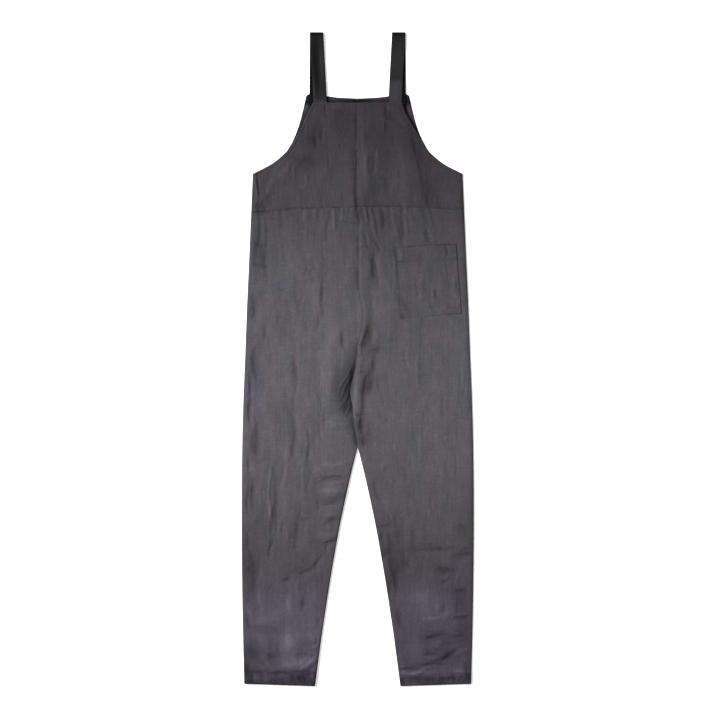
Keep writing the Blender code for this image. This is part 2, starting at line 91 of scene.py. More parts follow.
# (distance from the middle, height)
backTop = [(0, 1291.4), (44, 1293.6), (62, 1295.8), (98, 1300.6), (106, 1301.4)]
backCorner = [(112.4, 1298.4), (106, 1301.4)]
underArm = [(230.2, 1126), (214.5, 1133.7), (193.3, 1144.7), (177.4, 1155.7)]
armholes = {
    "back": underArm + [(164.8, 1166.7), (154.8, 1177.7), (141.8, 1199.7), (128.9, 1232.7), (119.9, 1265.7),
                        (115.2, 1287.7)],
    "left": underArm + [(164.6, 1166.7), (154, 1177.7), (139.6, 1199.7), (126.6, 1222.8), (109.3, 1260.2),
                        (97.6, 1282)],
    "right": underArm + [(164.6, 1166.7), (154, 1177.7), (136.2, 1209.6), (121.7, 1233.1), (106.9, 1256.9),
                         (97.6, 1282)],
}

# Main folds of the front, as on the solids: from x, from h, to x, to h, half width, rise
mainFolds = [
    (9, 742, 27, 778, 14, -2.0), (29, 778, 28, 886, 22, -1.0), (40, 892, 38, 942, 14, -2.0),
    (50, 938, 76, 870, 16, 1.5), (-73, 892, -74, 806, 16, -0.8), (-89, 902, -89, 818, 16, 1.3),
    (-140, 722, -137, 664, 17, -1.5), (-83, 712, -78, 610, 16, -0.8), (-144, 616, -142, 500, 17, -1.6),
    (-98, 534, -106, 500, 14, -1.3), (-180, 480, -186, 340, 17, -2.1), (-203, 480, -206, 360, 17, 1.5),
    (-130, 368, -135, 304, 15, -1.4), (-222, 562, -225, 518, 16, -1.3), (-38, 458, -78, 459, 13, -1.8),
    (-26, 484, -74, 484, 13, 1.5), (-36, 431, -74, 430, 15, 1.6), (-42, 404, -80, 402, 13, -1.5),
    (-162, 232, -88, 266, 18, -1.1), (-240, 248, -222, 262, 20, -1.5), (-118, 196, -116, 168, 15, -1.5),
    (-216, 156, -162, 158, 24, 1.5), (-244, 126, -162, 116, 17, -1.8), (-156, 102, -154, 66, 30, 1.8),
    (-197, 66, -177, 62, 16, -1.5), (-98, 68, -128, 40, 15, 1.4), (72, 346, 80, 214, 27, -2.6),
    (108, 352, 112, 266, 19, 1.5), (128, 302, 188, 301, 15, -1.7), (172, 262, 202, 246, 16, -1.8),
    (222, 218, 223, 156, 19, -2.4), (152, 190, 166, 152, 28, 1.6), (158, 104, 202, 118, 15, -1.9),
    (186, 58, 208, 75, 14, -2.0), (97, 28, 178, 50, 15, -1.3), (-219, 974, -221, 914, 15, -1.4),
    (118, 1216, 146, 1150, 26, -2.0), (146, 1150, 173, 1076, 24, -2.0), (-212, 1044, -186, 1080, 17, -1.6),
    (-179, 1108, -148, 1144, 18, 1.6), (-109, 1192, -108, 1152, 34, -1.4), (30, 1166, 30, 1124, 14, -1.2),
    (65, 1120, 65, 1082, 14, -1.2), (12, 1264, 11, 1068, 16, 1.2),
]

photo = {        # small folds and patches are placed in pixels of the photo, then made millimetres
    "scale": 2.2,            # millimetres to a pixel
    "middle": 357.7,         # the column of x = 0
    "lowest": 685.8,         # the row of h = 0
    "lightShift": 0.38,      # a fold shows darkest this share of its width nearer the light
    "softGain": 1.15,
    "creaseGain": 1.25,
}

# Softer dents and swells: from column, from row, to column, to row, half width and rise in millimetres
softFolds = [
    (256, 206, 258, 245, 7, -1.3), (262, 238, 262, 270, 12, -0.7), (264, 217, 265, 246, 9, -1.1),
    (265, 246, 266, 279, 9, -1.2), (251, 297, 253, 318, 11, -1.6), (252, 352, 256, 380, 16, -2.2),
    (248, 375, 248, 397, 8, -1.6), (249, 400, 249, 424, 8, -1.6), (255, 426, 255, 452, 11, -1.7),
    (248, 455, 249, 474, 9, -1.3), (252, 481, 250, 499, 9, -1.3), (247, 492, 247, 513, 7, -1.3),
    (254, 500, 254, 520, 12, 1.0), (247, 534, 247, 549, 9, -1.2), (250, 552, 252, 590, 16, -1.6),
    (250, 566, 258, 570, 10, -1.6), (247, 606, 250, 617, 12, 1.4), (246, 618, 248, 625, 8, -1.6),
    (250, 627, 284, 632, 11, -2.0), (258, 636, 268, 648, 16, 1.6), (248, 646, 262, 656, 18, -2.2),
    (272, 652, 280, 660, 13, -1.8), (262, 618, 284, 618, 16, 1.4), (287, 598, 289, 610, 15, 2.4),
    (286, 634, 288, 650, 24, 2.2), (288, 662, 298, 664, 13, 1.4), (317, 654, 302, 667, 10, 2.6),
    (310, 633, 318, 637, 12, 1.6), (313, 645, 318, 646, 8, 1.2), (301, 652, 318, 655, 9, -1.6),
    (303, 602, 307, 604, 10, -1.4), (317, 619, 318, 625, 8, -1.0), (284, 580, 291, 577, 9, -1.0),
    (302, 571, 312, 567, 9, -1.2), (313, 568, 320, 557, 8, -1.6), (326, 463, 345, 463, 14, 1.6),
    (323, 479, 343, 475.5, 9, -2.3), (326, 489, 345, 490, 12, 2.2), (320, 505, 341, 501, 9, -1.1),
    (325, 514, 336, 513, 8, 1.2), (324, 523, 338, 518, 9, -1.0), (322, 533, 338, 533, 11, 1.8),
    (324, 543, 338, 540, 8, -2.0), (326, 544, 325, 551, 7, -1.4), (286, 526, 285, 542, 10, 1.1),
    (302, 518, 310, 518, 6, -1.0), (378, 526, 392, 525, 9, -2.2), (381, 532, 382, 541, 8, -1.8),
    (386, 550, 402, 552, 10, -2.0), (384, 554, 388, 554, 8, -1.0), (407, 524, 408, 552, 8, 0.5),
    (390, 532, 396, 545, 12, 1.2), (416, 550, 440, 549, 7, -1.0), (438, 547, 454, 547, 9, -1.8),
    (460, 524, 470, 530, 10, -1.6), (458, 553, 470, 554, 11, -2.2), (437, 569, 450, 568, 10, -1.3),
    (394, 568, 395, 590, 9, -2.2), (385, 575, 388, 596, 10, -1.4), (406, 561, 409, 568, 8, -1.2),
    (435, 603, 436, 612, 13, 2.0), (425, 617, 438, 617, 8, 1.4), (405, 595, 430, 597, 18, 1.4),
    (444, 575, 450, 574, 7, 1.2), (442, 583, 448, 580, 6, -1.3), (457, 590, 464, 591, 8, -1.6),
    (459, 594, 459, 612, 10, -1.1), (455, 617, 468, 616, 8, -1.8), (443, 614, 451, 612, 13, 1.4),
    (396, 614, 402, 626, 14, -1.6), (428, 637, 445, 633, 5, -2.3), (450, 635, 463, 635, 6, -1.6),
    (438, 640, 442, 641, 9, 1.4), (427, 648, 434, 652, 9, -1.4), (442, 644, 458, 643, 5, -1.2),
    (456, 650, 442, 660, 6, -2.6), (424, 654, 441, 654, 5, -1.6), (430, 657, 438, 657, 5, 1.2),
    (425, 664, 436, 662, 6, -1.8), (436, 662, 448, 664, 6, -1.2), (400, 669, 420, 668, 5, -1.8),
    (415, 672, 426, 667, 6, 1.6), (402, 674, 420, 673, 8, 1.4), (456, 650, 468, 648, 10, 1.6),
    (458, 664, 466, 668, 12, 1.2), (257, 173, 259, 194, 5, -1.3), (254, 178, 256, 202, 4, 1.2),
    (259, 204, 268, 208, 10, -1.8), (263, 194, 268, 202, 9, -1.2), (278, 166, 264, 204, 11, 0.8),
    (298, 160, 318, 162, 20, -1.6), (308, 158, 316, 168, 16, -1.0), (355, 153, 355, 174, 7, -1.4),
    (355, 176, 356, 207, 8, -1.3), (366, 104, 367, 134, 12, 0.8), (367, 144, 368, 200, 15, 0.9),
    (352, 106, 354, 150, 12, -1.0), (388, 112, 396, 118, 11, -1.4), (399, 150, 400, 200, 20, 1.2),
    (418, 158, 428, 206, 16, -1.4), (336, 104, 345, 108, 13, 1.2), (332, 334, 329, 352, 12, 0.6),
    (328, 352, 325, 402, 15, 0.6), (341, 333, 343, 348, 8, -1.6), (367, 328, 369, 340, 9, -2.6),
    (361, 348, 365, 338, 6, -2.0), (368, 352, 384, 348, 12, -1.4), (373, 358, 373, 372, 8, -1.6),
    (369, 377, 367, 393, 10, -2.2), (376, 376, 378, 392, 14, -1.4), (357, 415, 364, 415, 5, -1.6),
    (360, 420, 361, 431, 8, -2.2), (362, 440, 363, 446, 5, -1.2), (331, 420, 341, 424, 12, 1.6),
    (389, 262, 391, 275, 8, 0.6), (372, 300, 384, 330, 22, 1.2), (378, 464, 380, 470, 12, 1.2),
    (373, 482, 378, 500, 9, -1.4),
]

# Sharp creases, with the same six values
creases = [
    (306, 221, 308, 240, 4, -1.0), (327, 220, 327, 241, 5, -1.3), (332, 208, 333, 231, 5, 1.0),
    (325, 209, 326, 216, 4, 0.7), (341, 209, 341, 221, 5, 0.9), (305, 208, 304, 222, 5, 0.9),
    (294, 210, 295, 216, 4, 0.8), (283, 247, 285, 262, 4, -0.8), (291, 242, 292, 250, 4, 0.6),
    (312, 258, 315, 271, 5, -0.8), (322, 250, 324, 268, 4, -1.0), (305, 271, 304, 279, 4, -0.9),
    (310, 271, 311, 277, 3.5, -0.7), (306, 280, 306, 287, 3.5, -0.7), (312, 279, 313, 285, 3.5, -0.7),
    (298, 278, 298, 285, 3.5, -0.6), (322, 283, 321, 303, 5, -0.9), (319.5, 282, 319.5, 312, 5, 1.0),
    (326, 289, 326, 297, 3.5, -0.6), (303, 292, 301, 303, 4, -0.7), (286, 299, 288, 313, 5, -0.8),
    (291, 309, 292, 319, 4, -0.7), (318, 311, 316, 331, 5, -1.0), (323, 310, 324, 319, 4, -0.8),
    (304, 319, 304, 325, 3.5, -0.6), (307, 322, 308, 336, 4, -0.8), (274, 309, 274, 325, 4, 0.8),
    (300, 294, 300, 301, 4, 0.6), (264, 326, 264, 341, 5, -0.9), (296, 333, 296, 341, 4, 0.6),
    (294, 358, 295, 393, 4.5, -1.4), (294, 393, 294, 409, 4, -1.0), (292, 408, 293, 456, 4.5, -1.2),
    (281, 429, 281, 446, 4, -0.8), (306, 422, 308, 456, 4.5, -1.0), (321, 362, 321, 408, 4, -0.7),
    (323, 410, 323, 431, 4.5, -0.9), (320, 410, 321, 440, 4.5, -0.8), (315, 431, 316, 437, 4, -0.8),
    (284, 372, 284, 380, 3.5, -0.5), (268, 338, 269, 348, 4, -0.7), (311, 372, 311, 402, 4, -0.6),
    (302, 436, 303, 450, 3.5, -0.6), (277, 436, 278, 450, 4, -0.6), (297, 415, 297, 424, 4, 0.6),
    (404, 347, 405, 364, 4.5, -0.7), (405, 364, 408, 376, 4.5, -0.6), (418, 351, 418, 388, 4.5, 1.2),
    (420, 328, 420, 352, 4, -0.7), (422, 411, 421, 456, 4.5, 0.8), (423, 411, 423, 420, 3, -0.5),
    (443, 395, 443, 416, 4, -0.8), (440, 352, 440, 366, 3.5, 0.6), (460, 374, 461, 390, 4, -0.6),
    (466, 385, 466, 395, 3.5, 0.6), (457, 428, 457, 440, 4, -0.7), (382, 398, 383, 408, 4, -0.6),
    (386, 372, 389, 393, 4.5, -0.6), (445, 436, 445, 441, 3.5, 0.6), (397, 430, 398, 440, 4, 0.6),
    (284, 462, 280, 484, 5, -0.9), (278, 492, 277, 508, 5, -0.7), (274, 507, 276, 531, 5, -1.3),
    (271, 468, 271, 520, 4, 1.6), (271, 502, 268, 520, 5, 1.0), (269, 520, 269, 537, 4.5, 0.8),
    (285, 452, 283, 484, 6, 0.9), (292, 444, 293, 457, 5, -1.1), (295, 455, 295, 471, 4.5, -0.8),
    (308, 447, 309, 471, 5, -1.0), (309, 471, 307, 487, 5, -0.7), (313, 455, 312, 477, 4.5, -0.8),
    (312, 454, 313, 463, 4, 0.7), (305, 454, 303, 490, 5, 0.8), (301, 447, 302, 458, 4, -0.8),
    (300, 511, 298, 532, 4.5, -0.8), (297, 533, 294, 548, 4.5, -0.6), (283, 523, 281, 532, 4, -0.9),
    (272, 541, 269, 550, 4.5, -1.2), (269, 550, 269, 557, 4, -0.7), (286, 446, 289, 458, 4, 0.7),
    (262, 486, 263, 500, 4, -0.7), (303, 503, 303, 511, 3.5, 0.5), (318, 499, 319, 511, 4, -0.7),
    (277, 516, 278, 524, 4, 0.6), (406, 470, 406, 484, 4, -0.7), (433, 455, 434, 468, 4, -0.6),
    (431, 493, 432, 515, 4, -0.9), (422, 492, 423, 498, 3.5, -0.5), (446, 458, 446, 466, 3.5, -0.5),
    (442, 468, 442, 478, 3.5, 0.6), (387, 482, 387, 488, 3.5, -0.5), (455, 455, 455, 476, 4, -0.6),
    (445, 494, 446, 503, 4.5, 0.7), (395, 519, 396, 527, 4, -0.8), (262, 561, 261, 610, 7, 0.8),
    (259, 575, 258, 592, 5, -0.5), (297, 583, 297, 594, 4.5, 0.7), (308, 586, 309, 592, 4, 0.6),
    (303, 600, 302, 611, 6, -1.0), (287, 162, 288, 171, 4, 0.7), (294, 167, 294, 177, 4, 0.8),
    (305, 174, 306, 186, 4, 0.8), (326, 164, 326, 174, 4, 0.7), (282, 179, 282, 186, 4, 0.6),
    (325, 106, 326, 118, 4.5, -0.7), (339, 144, 340, 150, 3.5, -0.5), (322, 128, 322, 142, 5, -0.8),
    (313, 132, 315, 148, 6, -0.9), (328, 155, 329, 168, 4.5, -0.6), (373, 154, 372, 173, 4.5, -0.9),
    (377, 150, 377, 159, 4, 0.7), (385, 104, 385, 116, 4.5, -0.8), (392, 138, 394, 146, 4.5, -0.6),
    (381, 118, 383, 133, 5, 0.8), (342, 194, 343, 201, 4, -0.6), (321, 193, 321, 204, 4, -0.6),
    (332, 190, 335, 198, 4, 0.6), (311, 187, 312, 196, 4, -0.5), (299, 194, 299, 202, 3.5, 0.6),
    (412, 136, 415, 152, 5, -0.9), (417, 160, 419, 169, 4.5, -0.8), (424, 172, 425, 182, 4.5, -0.6),
    (428, 190, 428, 206, 5, -0.8), (434, 196, 435, 212, 4.5, 0.7), (366, 208, 367, 222, 5, 0.9),
    (371, 208, 377, 236, 5, -1.0), (372, 222, 378, 242, 5, 0.9), (382, 210, 383, 228, 5, -1.6),
    (392, 210, 397, 236, 6, 0.9), (399, 206, 402, 240, 7, -1.2), (405, 207, 406, 232, 6, 1.3),
    (410, 216, 412, 222, 4, 0.6), (426, 229, 426, 240, 4.5, -1.0), (424, 222, 434, 245, 5, 1.0),
    (432, 206, 434, 216, 5, 0.9), (428, 206, 433, 226, 6, -0.8), (365, 234, 368, 249, 4.5, -0.9),
    (376, 243, 379, 251, 4, -0.9), (373, 254, 374, 268, 5, -0.7), (376, 268, 378, 288, 5, -0.8),
    (378, 261, 381, 285, 5, 1.3), (393, 258, 393, 292, 4.5, 0.9), (388, 252, 392, 276, 4.5, 0.5),
]

# Painted shade and painted highlights where the front's folds, hollows and edges lose or catch the light,
# partly the cloth's uneven tone: column, row, half width, half height, change of brightness
shadeAndLightPatches = [
    (261, 255, 7, 17, -0.25), (250, 310, 8, 16, -0.24), (254, 368, 9, 24, -0.24), (248, 405, 6, 20, -0.20),
    (255, 440, 6, 16, -0.24), (250, 495, 6, 18, -0.20), (248, 575, 10, 28, -0.26), (254, 652, 14, 13, -0.34),
    (247, 622, 6, 6, -0.16), (268, 631, 16, 4, -0.14), (276, 656, 8, 8, -0.20), (287, 643, 9, 10, 0.22),
    (288, 660, 12, 7, 0.12), (290, 605, 6, 9, 0.16), (270, 618, 16, 9, 0.12), (312, 635, 8, 5, 0.16),
    (307, 661, 8, 5, 0.20), (292, 663, 12, 5, 0.16), (262, 590, 5, 24, 0.08), (347, 388, 6, 15, -0.50),
    (341, 399, 5, 13, -0.32), (352, 373, 3, 9, -0.38), (345, 409, 7, 6, -0.32), (353, 425, 5, 9, -0.35),
    (355, 440, 4, 7, -0.35), (368.5, 384, 5.5, 11, -0.36), (378, 384, 8, 12, -0.12),
    (360, 424, 5, 10, -0.42), (362, 441, 5, 7, -0.25), (367, 333, 5, 9, -0.42), (364, 345, 4, 5, -0.30),
    (376, 350, 11, 7, -0.14), (373, 366, 4, 9, -0.22), (342, 341, 4, 8, -0.20), (337, 425, 10, 10, 0.08),
    (333, 372, 5, 24, -0.06), (394, 537, 10, 14, -0.24), (396, 576, 7, 20, -0.28), (403, 562, 5, 12, -0.20),
    (446, 570, 10, 5, -0.22), (462, 552, 10, 7, -0.24), (464, 597, 7, 18, -0.32), (464, 528, 7, 8, -0.14),
    (464, 630, 8, 14, -0.28), (446, 637, 18, 6, -0.24), (449, 655, 10, 7, -0.24), (423, 600, 15, 15, 0.26),
    (430, 618, 10, 4, 0.12), (414, 652, 13, 9, 0.16), (448, 614, 7, 6, 0.14), (399, 620, 7, 10, -0.18),
    (386, 553, 6, 6, -0.20), (398, 545, 5, 8, 0.08), (466, 656, 6, 8, 0.10), (357, 213, 6, 8, -0.26),
    (384, 222, 6, 12, -0.22), (400, 226, 5, 18, -0.16), (374, 272, 4, 12, -0.28), (369, 300, 5, 26, -0.06),
    (386, 302, 10, 26, 0.12), (300, 280, 32, 30, 0.05), (447, 280, 7, 32, -0.12), (405, 311, 7, 7, -0.12),
    (355, 270, 3, 22, -0.16), (354, 240, 4, 22, -0.08), (378, 240, 8, 10, -0.10), (308, 162, 15, 9, -0.14),
    (315, 140, 7, 10, -0.14), (355, 162, 3, 16, -0.18), (356, 195, 3, 15, -0.22), (363, 118, 4, 14, 0.12),
    (365, 172, 4, 30, 0.16), (374, 128, 6, 14, -0.10), (391, 115, 7, 8, -0.06), (397, 128, 6, 20, 0.10),
    (399, 172, 9, 28, 0.10), (428, 182, 13, 28, -0.20), (455, 190, 9, 20, -0.04), (262, 206, 9, 6, -0.20),
    (286, 175, 11, 15, 0.19), (338, 106, 9, 4, 0.16), (353, 125, 5, 24, -0.14), (300, 128, 4, 15, -0.22),
    (258, 183, 4, 14, -0.18), (420, 150, 8, 12, -0.18), (362, 262, 2, 40, 0.10), (360, 337, 2, 16, 0.26),
    (359, 392, 4, 18, 0.22), (354, 398, 3, 12, 0.26), (271, 495, 2, 26, 0.16), (345, 372, 6, 12, -0.16),
    (351.5, 378, 2.2, 9, -0.45), (355, 367, 1.8, 6, -0.35), (361, 370, 3, 8, 0.12), (336, 386, 5, 16, -0.18),
    (365, 341, 4, 8, -0.22), (367, 388, 4, 8, -0.12), (403, 545, 2.5, 18, -0.12), (272, 485, 1.7, 16, 0.24),
    (268, 663, 14, 3.5, -0.15), (272, 626, 14, 3, 0.08), (343, 470, 5, 5, 0.12), (328, 489, 10, 5, 0.10),
    (330, 512, 10, 5, 0.10), (328, 534, 9, 5, 0.10), (333, 499, 9, 2, -0.06), (330, 519, 8, 2, -0.05),
    (336, 478, 9, 2, -0.16), (252, 669, 9, 4, -0.24), (246, 668, 3, 8, -0.30), (433, 637, 7, 1.2, -0.26),
    (440, 649, 6, 1, -0.22), (452, 645, 8, 1, -0.16), (445, 657, 8, 1.5, -0.26), (430, 664, 10, 1, -0.22),
    (412, 669, 10, 1, -0.24), (462, 640, 7, 1.2, -0.2), (447, 570, 6, 1.2, -0.2), (428, 549, 12, 1, -0.12),
    (464, 553, 6, 1.2, -0.2), (459, 591, 6, 1.2, -0.2), (461, 617, 7, 1.2, -0.2), (363, 172, 3.5, 30, 0.10),
    (325, 382, 4, 22, -0.07), (262, 212, 9, 2.5, -0.18), (347, 400, 7, 8, -0.16), (370, 222, 4, 10, 0.08),
    (308, 287, 5, 12, -0.08), (336, 472, 12, 3, 0.07), (334, 499, 10, 3, 0.05), (333, 527, 9, 3, 0.07),
    (331, 540, 8, 2, 0.05), (389, 545, 4, 10, 0.06), (281, 268, 8, 3, 0.05), (357, 218, 2.5, 8, -0.12),
    (361, 238, 4, 12, 0.08), (253, 197, 2, 7, -0.28), (372, 107, 12, 4, -0.14), (365, 163, 4, 12, 0.08),
    (262, 209.5, 14, 1, 0.12), (290, 210, 8, 0.9, -0.14), (390, 206.5, 10, 0.9, -0.14),
    (452, 208.5, 9, 0.9, -0.14), (255, 188, 1, 13, 0.22), (462, 194, 1.2, 20, -0.3),
    (447, 590, 6, 15, -0.09), (462, 618, 9, 11, -0.08), (458, 606, 7, 7, -0.05), (441, 575, 5, 6, -0.07),
    (449, 626, 7, 6, -0.05), (247, 601, 6, 11, -0.10), (247, 655, 7, 11, -0.08), (292, 645, 7, 9, 0.05),
]

# Fine strokes of light and shade: from column, from row, to column, to row, half width, change
marks = [
    (253, 213, 268, 212, 2.0, -0.28), (268, 212, 283, 210, 0.9, -0.25), (283, 210, 294, 208.5, 1.0, -0.3),
    (291, 213, 294, 216, 1.2, -0.35), (303, 208.5, 312, 208.5, 0.9, -0.2),
    (328, 206, 341, 209.5, 0.8, -0.22), (355.5, 200, 356, 211, 1.1, -0.4), (357, 214, 359, 224, 1.0, -0.3),
    (341, 222, 355, 223, 0.7, -0.28), (338, 228, 338, 239, 0.8, 0.2), (362, 226, 372, 246, 0.9, 0.16),
    (375, 243, 379, 251, 1.0, -0.32), (369, 257, 372, 263, 1.1, -0.26), (372, 266, 373, 276, 1.3, -0.26),
    (374, 262, 377, 270, 1.2, -0.24), (357, 270, 357.5, 288, 1.8, -0.4), (357, 236, 357.5, 262, 0.8, -0.2),
    (426, 231, 428, 242, 1.0, -0.28), (441, 212, 451, 213.5, 0.9, -0.22), (253, 243, 261, 246, 2.4, -0.25),
    (253, 264, 266, 267, 2.0, -0.25), (305, 230, 306, 236, 0.7, 0.2), (310, 232, 312, 235, 0.7, -0.25),
    (333, 212, 334, 230, 0.8, 0.14), (303, 210, 302, 222, 0.8, 0.16), (318, 268, 319, 282, 0.8, -0.2),
    (306, 262, 306, 276, 0.7, -0.18), (285, 250, 286, 262, 0.7, -0.18), (277, 286, 284, 286.5, 0.6, 0.22),
    (277, 290, 284, 290, 0.6, -0.16), (347, 282, 346, 298, 0.8, -0.14), (322, 262, 320, 280, 0.8, -0.16),
    (405, 209, 408, 226, 1.1, 0.14), (398, 228, 402, 246, 0.9, -0.2), (391, 240, 398, 262, 0.9, -0.15),
    (378, 252, 384, 290, 0.8, 0.14), (275, 506, 276, 528, 1.2, -0.18), (270, 541, 268.5, 555, 0.9, -0.3),
    (300, 516, 302, 521, 1.1, -0.3), (297, 524, 293, 538, 0.9, -0.26), (282, 524, 281.5, 534, 0.8, -0.28),
    (284, 580, 289, 578, 1.5, -0.28), (300, 573, 309, 569.5, 1.4, -0.34), (309, 569.5, 318, 560, 1.1, -0.2),
    (303, 605, 307, 602, 1.4, -0.2), (270, 657, 280, 655, 2.0, -0.2), (261, 661, 267, 668, 1.0, -0.28),
    (263, 668, 268, 661, 0.8, 0.2), (313, 647, 318, 644, 1.0, 0.25), (324, 497.5, 333, 497, 0.8, -0.22),
    (325, 542, 336, 538, 1.0, -0.26), (294, 547, 299, 546, 0.8, -0.2), (328, 482, 341, 478.5, 0.9, -0.16),
    (325, 505, 337, 501, 0.9, -0.18), (324, 515, 333, 512, 1.0, 0.1), (255, 586, 262, 584, 0.8, -0.18),
    (268, 590, 272, 584, 1.0, -0.2), (395, 250, 396, 262, 0.8, -0.32), (396.5, 264, 397.5, 280, 0.8, -0.28),
    (398, 294, 399.5, 306, 0.9, -0.36), (407.5, 247, 420, 245.9, 0.8, -0.34),
    (420, 245.9, 436, 244.9, 0.8, -0.14), (436, 244.9, 454, 244.4, 0.8, -0.34),
    (446, 247, 447, 255, 1.0, -0.34), (447, 259.6, 452, 259.6, 0.7, -0.12),
    (452, 259.5, 457, 259.3, 0.8, -0.3), (402, 249, 402.5, 260, 1.2, 0.16),
    (397, 261.7, 403, 261.4, 0.8, -0.3), (415, 283, 418, 296, 1.0, -0.2), (433, 290, 437, 299, 1.0, -0.24),
    (445, 262, 447, 276, 1.0, -0.24), (447, 276, 449, 290, 1.0, -0.22), (442, 263, 443, 273, 1.2, 0.12),
    (446, 307.6, 459, 308, 0.8, -0.24), (429, 304, 433.5, 312, 1.0, -0.22),
    (441, 303, 441.5, 312, 1.0, 0.16), (403, 301, 407, 311, 1.4, -0.22), (399.5, 315, 403, 319, 1.1, -0.32),
    (403, 275, 405, 284, 0.9, 0.14), (426, 273.5, 429, 274, 0.8, 0.25), (405, 317.4, 445, 314.8, 0.9, 0.3),
    (345.5, 381, 349, 374, 0.7, 0.4), (346, 387, 351, 378, 0.7, 0.45), (341, 398, 346, 388, 0.7, 0.3),
    (344, 405, 348, 397, 0.7, 0.35), (345, 411, 348, 404, 0.7, -0.3), (341, 409, 344, 402, 0.7, -0.3),
    (351, 402, 352.3, 413, 1.2, -0.45), (353.5, 412, 357, 440, 0.8, 0.3),
    (351.5, 417, 355.5, 445, 0.9, -0.4), (356, 413, 359, 417, 1.4, -0.28), (359, 425, 361, 434, 1.4, -0.22),
    (356.5, 362, 362, 362, 0.7, 0.18), (357, 365.5, 363, 365, 0.7, -0.18),
    (360, 372.5, 364, 371.5, 0.8, -0.32), (359, 388, 361, 394, 0.9, -0.28), (371, 356, 376, 358, 1.0, -0.24),
    (392, 339.2, 396, 339.4, 0.6, -0.3), (361, 332, 361, 339, 0.9, 0.26), (428, 639, 433, 636.5, 0.9, -0.36),
    (433, 636.5, 438, 634.5, 1.2, -0.4), (438, 634.5, 448, 633, 0.8, -0.24),
    (452, 635, 464, 635.3, 0.8, -0.28), (442, 658.5, 449, 654, 1.4, -0.34),
    (449, 654, 456, 648.5, 1.2, -0.3), (424, 653.6, 437, 654, 0.8, -0.28), (427, 657.2, 437, 657, 0.8, 0.2),
    (413, 668, 424, 664.5, 0.8, -0.22), (424, 664.5, 434, 663, 0.9, -0.3),
    (434, 663, 446, 664.3, 0.8, -0.28), (400, 673.5, 416, 669.5, 0.9, -0.22),
    (434, 648.5, 439, 650, 0.9, -0.26), (436, 646, 441, 646.5, 0.8, 0.2), (425, 549.3, 437, 549, 0.7, -0.24),
    (437, 549, 442, 548, 1.0, -0.4), (437, 568.3, 447, 567.8, 0.9, -0.26), (441, 571, 445, 573, 1.2, -0.26),
    (442, 582, 448, 579, 0.8, -0.3), (403, 520, 403, 545, 0.8, -0.22), (403, 545, 403.5, 565, 0.9, -0.26),
    (404, 563, 411, 566.5, 0.9, -0.22), (394, 570, 395.5, 590, 1.4, -0.24),
    (460, 550, 469, 547.5, 0.9, -0.3), (463, 557.5, 472, 556, 0.9, 0.2), (456, 589.5, 464, 589, 1.2, -0.28),
    (455, 617.5, 469, 615, 1.0, -0.3), (430, 541.5, 434, 541, 0.8, 0.22), (461, 655, 466, 661, 1.0, 0.24),
    (402, 662, 403, 668, 0.9, 0.26), (424, 617, 437, 618, 0.9, 0.15), (402, 592, 402.5, 598, 0.9, 0.26),
    (444, 601, 443, 612, 0.9, -0.16), (324.5, 107, 326, 117, 1.1, -0.3),
    (384.5, 105, 385.5, 119, 1.1, -0.26), (386, 118, 396, 120, 1.2, -0.2), (399, 123, 401, 128, 1.2, -0.3),
    (411, 140, 416, 158, 0.9, -0.24), (339.5, 143, 339.5, 148, 0.8, -0.24), (330, 150, 331, 152, 1.0, -0.22),
    (376, 150, 377, 158, 0.7, 0.16), (293, 168, 294, 177, 0.8, 0.18), (305, 175, 306, 186, 0.8, 0.2),
    (311, 168, 316, 168, 0.7, 0.16), (352.5, 154, 354, 168, 1.6, -0.22), (354, 170, 356, 186, 1.2, -0.26),
    (328, 157, 329, 166, 0.8, -0.18), (361, 145, 365, 166, 1.2, 0.1), (311, 137, 316, 147, 1.8, -0.18),
    (408, 177.5, 412, 177.5, 0.7, 0.2), (412, 200.5, 418, 201, 0.8, 0.18),
]

# Painted shade and painted highlights on the turned hems' puckers and corners, partly uneven tone, with the
# columns of shadeAndLightPatches
hemLightAndShadePatches = [
    (247, 669, 3.5, 7, -0.45), (300, 670.5, 13, 1.3, -0.4), (279, 672, 7, 1.2, -0.35),
    (259, 671, 8, 1.2, -0.3), (255.5, 677, 2.4, 3.5, 0.55), (263, 678, 4, 1.5, 0.4),
    (270.5, 676, 2, 3.5, 0.5), (278.5, 677, 1.5, 4, 0.5), (284, 675, 4, 1.5, 0.35),
    (293, 677, 2.4, 3, -0.35), (304, 677, 5, 3, -0.3), (311.5, 674, 1.2, 4, 0.7), (309, 668.5, 2, 1, 0.4),
    (288, 680, 2, 2, 0.3), (298, 674, 1.4, 3, 0.3), (250, 681, 4, 1.2, -0.3), (412, 673, 12, 1.8, 0.5),
    (438, 674, 12, 1.3, 0.25), (404, 671, 4, 2, 0.25), (459, 670, 5, 3, 0.35), (465.5, 671, 2.2, 9, -0.5),
    (430, 679, 13, 2, -0.25), (415, 677, 8, 1.2, -0.35), (446, 677.5, 10, 1.4, -0.35),
    (411, 683.5, 10, 0.9, 0.7), (402, 680, 1.5, 3, -0.4), (424, 681, 2, 2, 0.4), (437, 679, 1.6, 2.5, 0.4),
    (452, 680.5, 2, 2, 0.35), (458, 677, 1.4, 2, 0.3),
]
violetShadePatches = {        # painted shade colour in the hollow beside the lap and the darker folds: column, row, half width, half height, share of violet
    "left": [(347.7, 390, 9, 20, 0.75), (252, 655, 14, 16, 0.3), (270, 661, 16, 7, 0.3)],
    "right": [(464, 612, 13, 34, 0.45), (441, 655, 20, 12, 0.35), (450, 572, 14, 10, 0.2)],
}
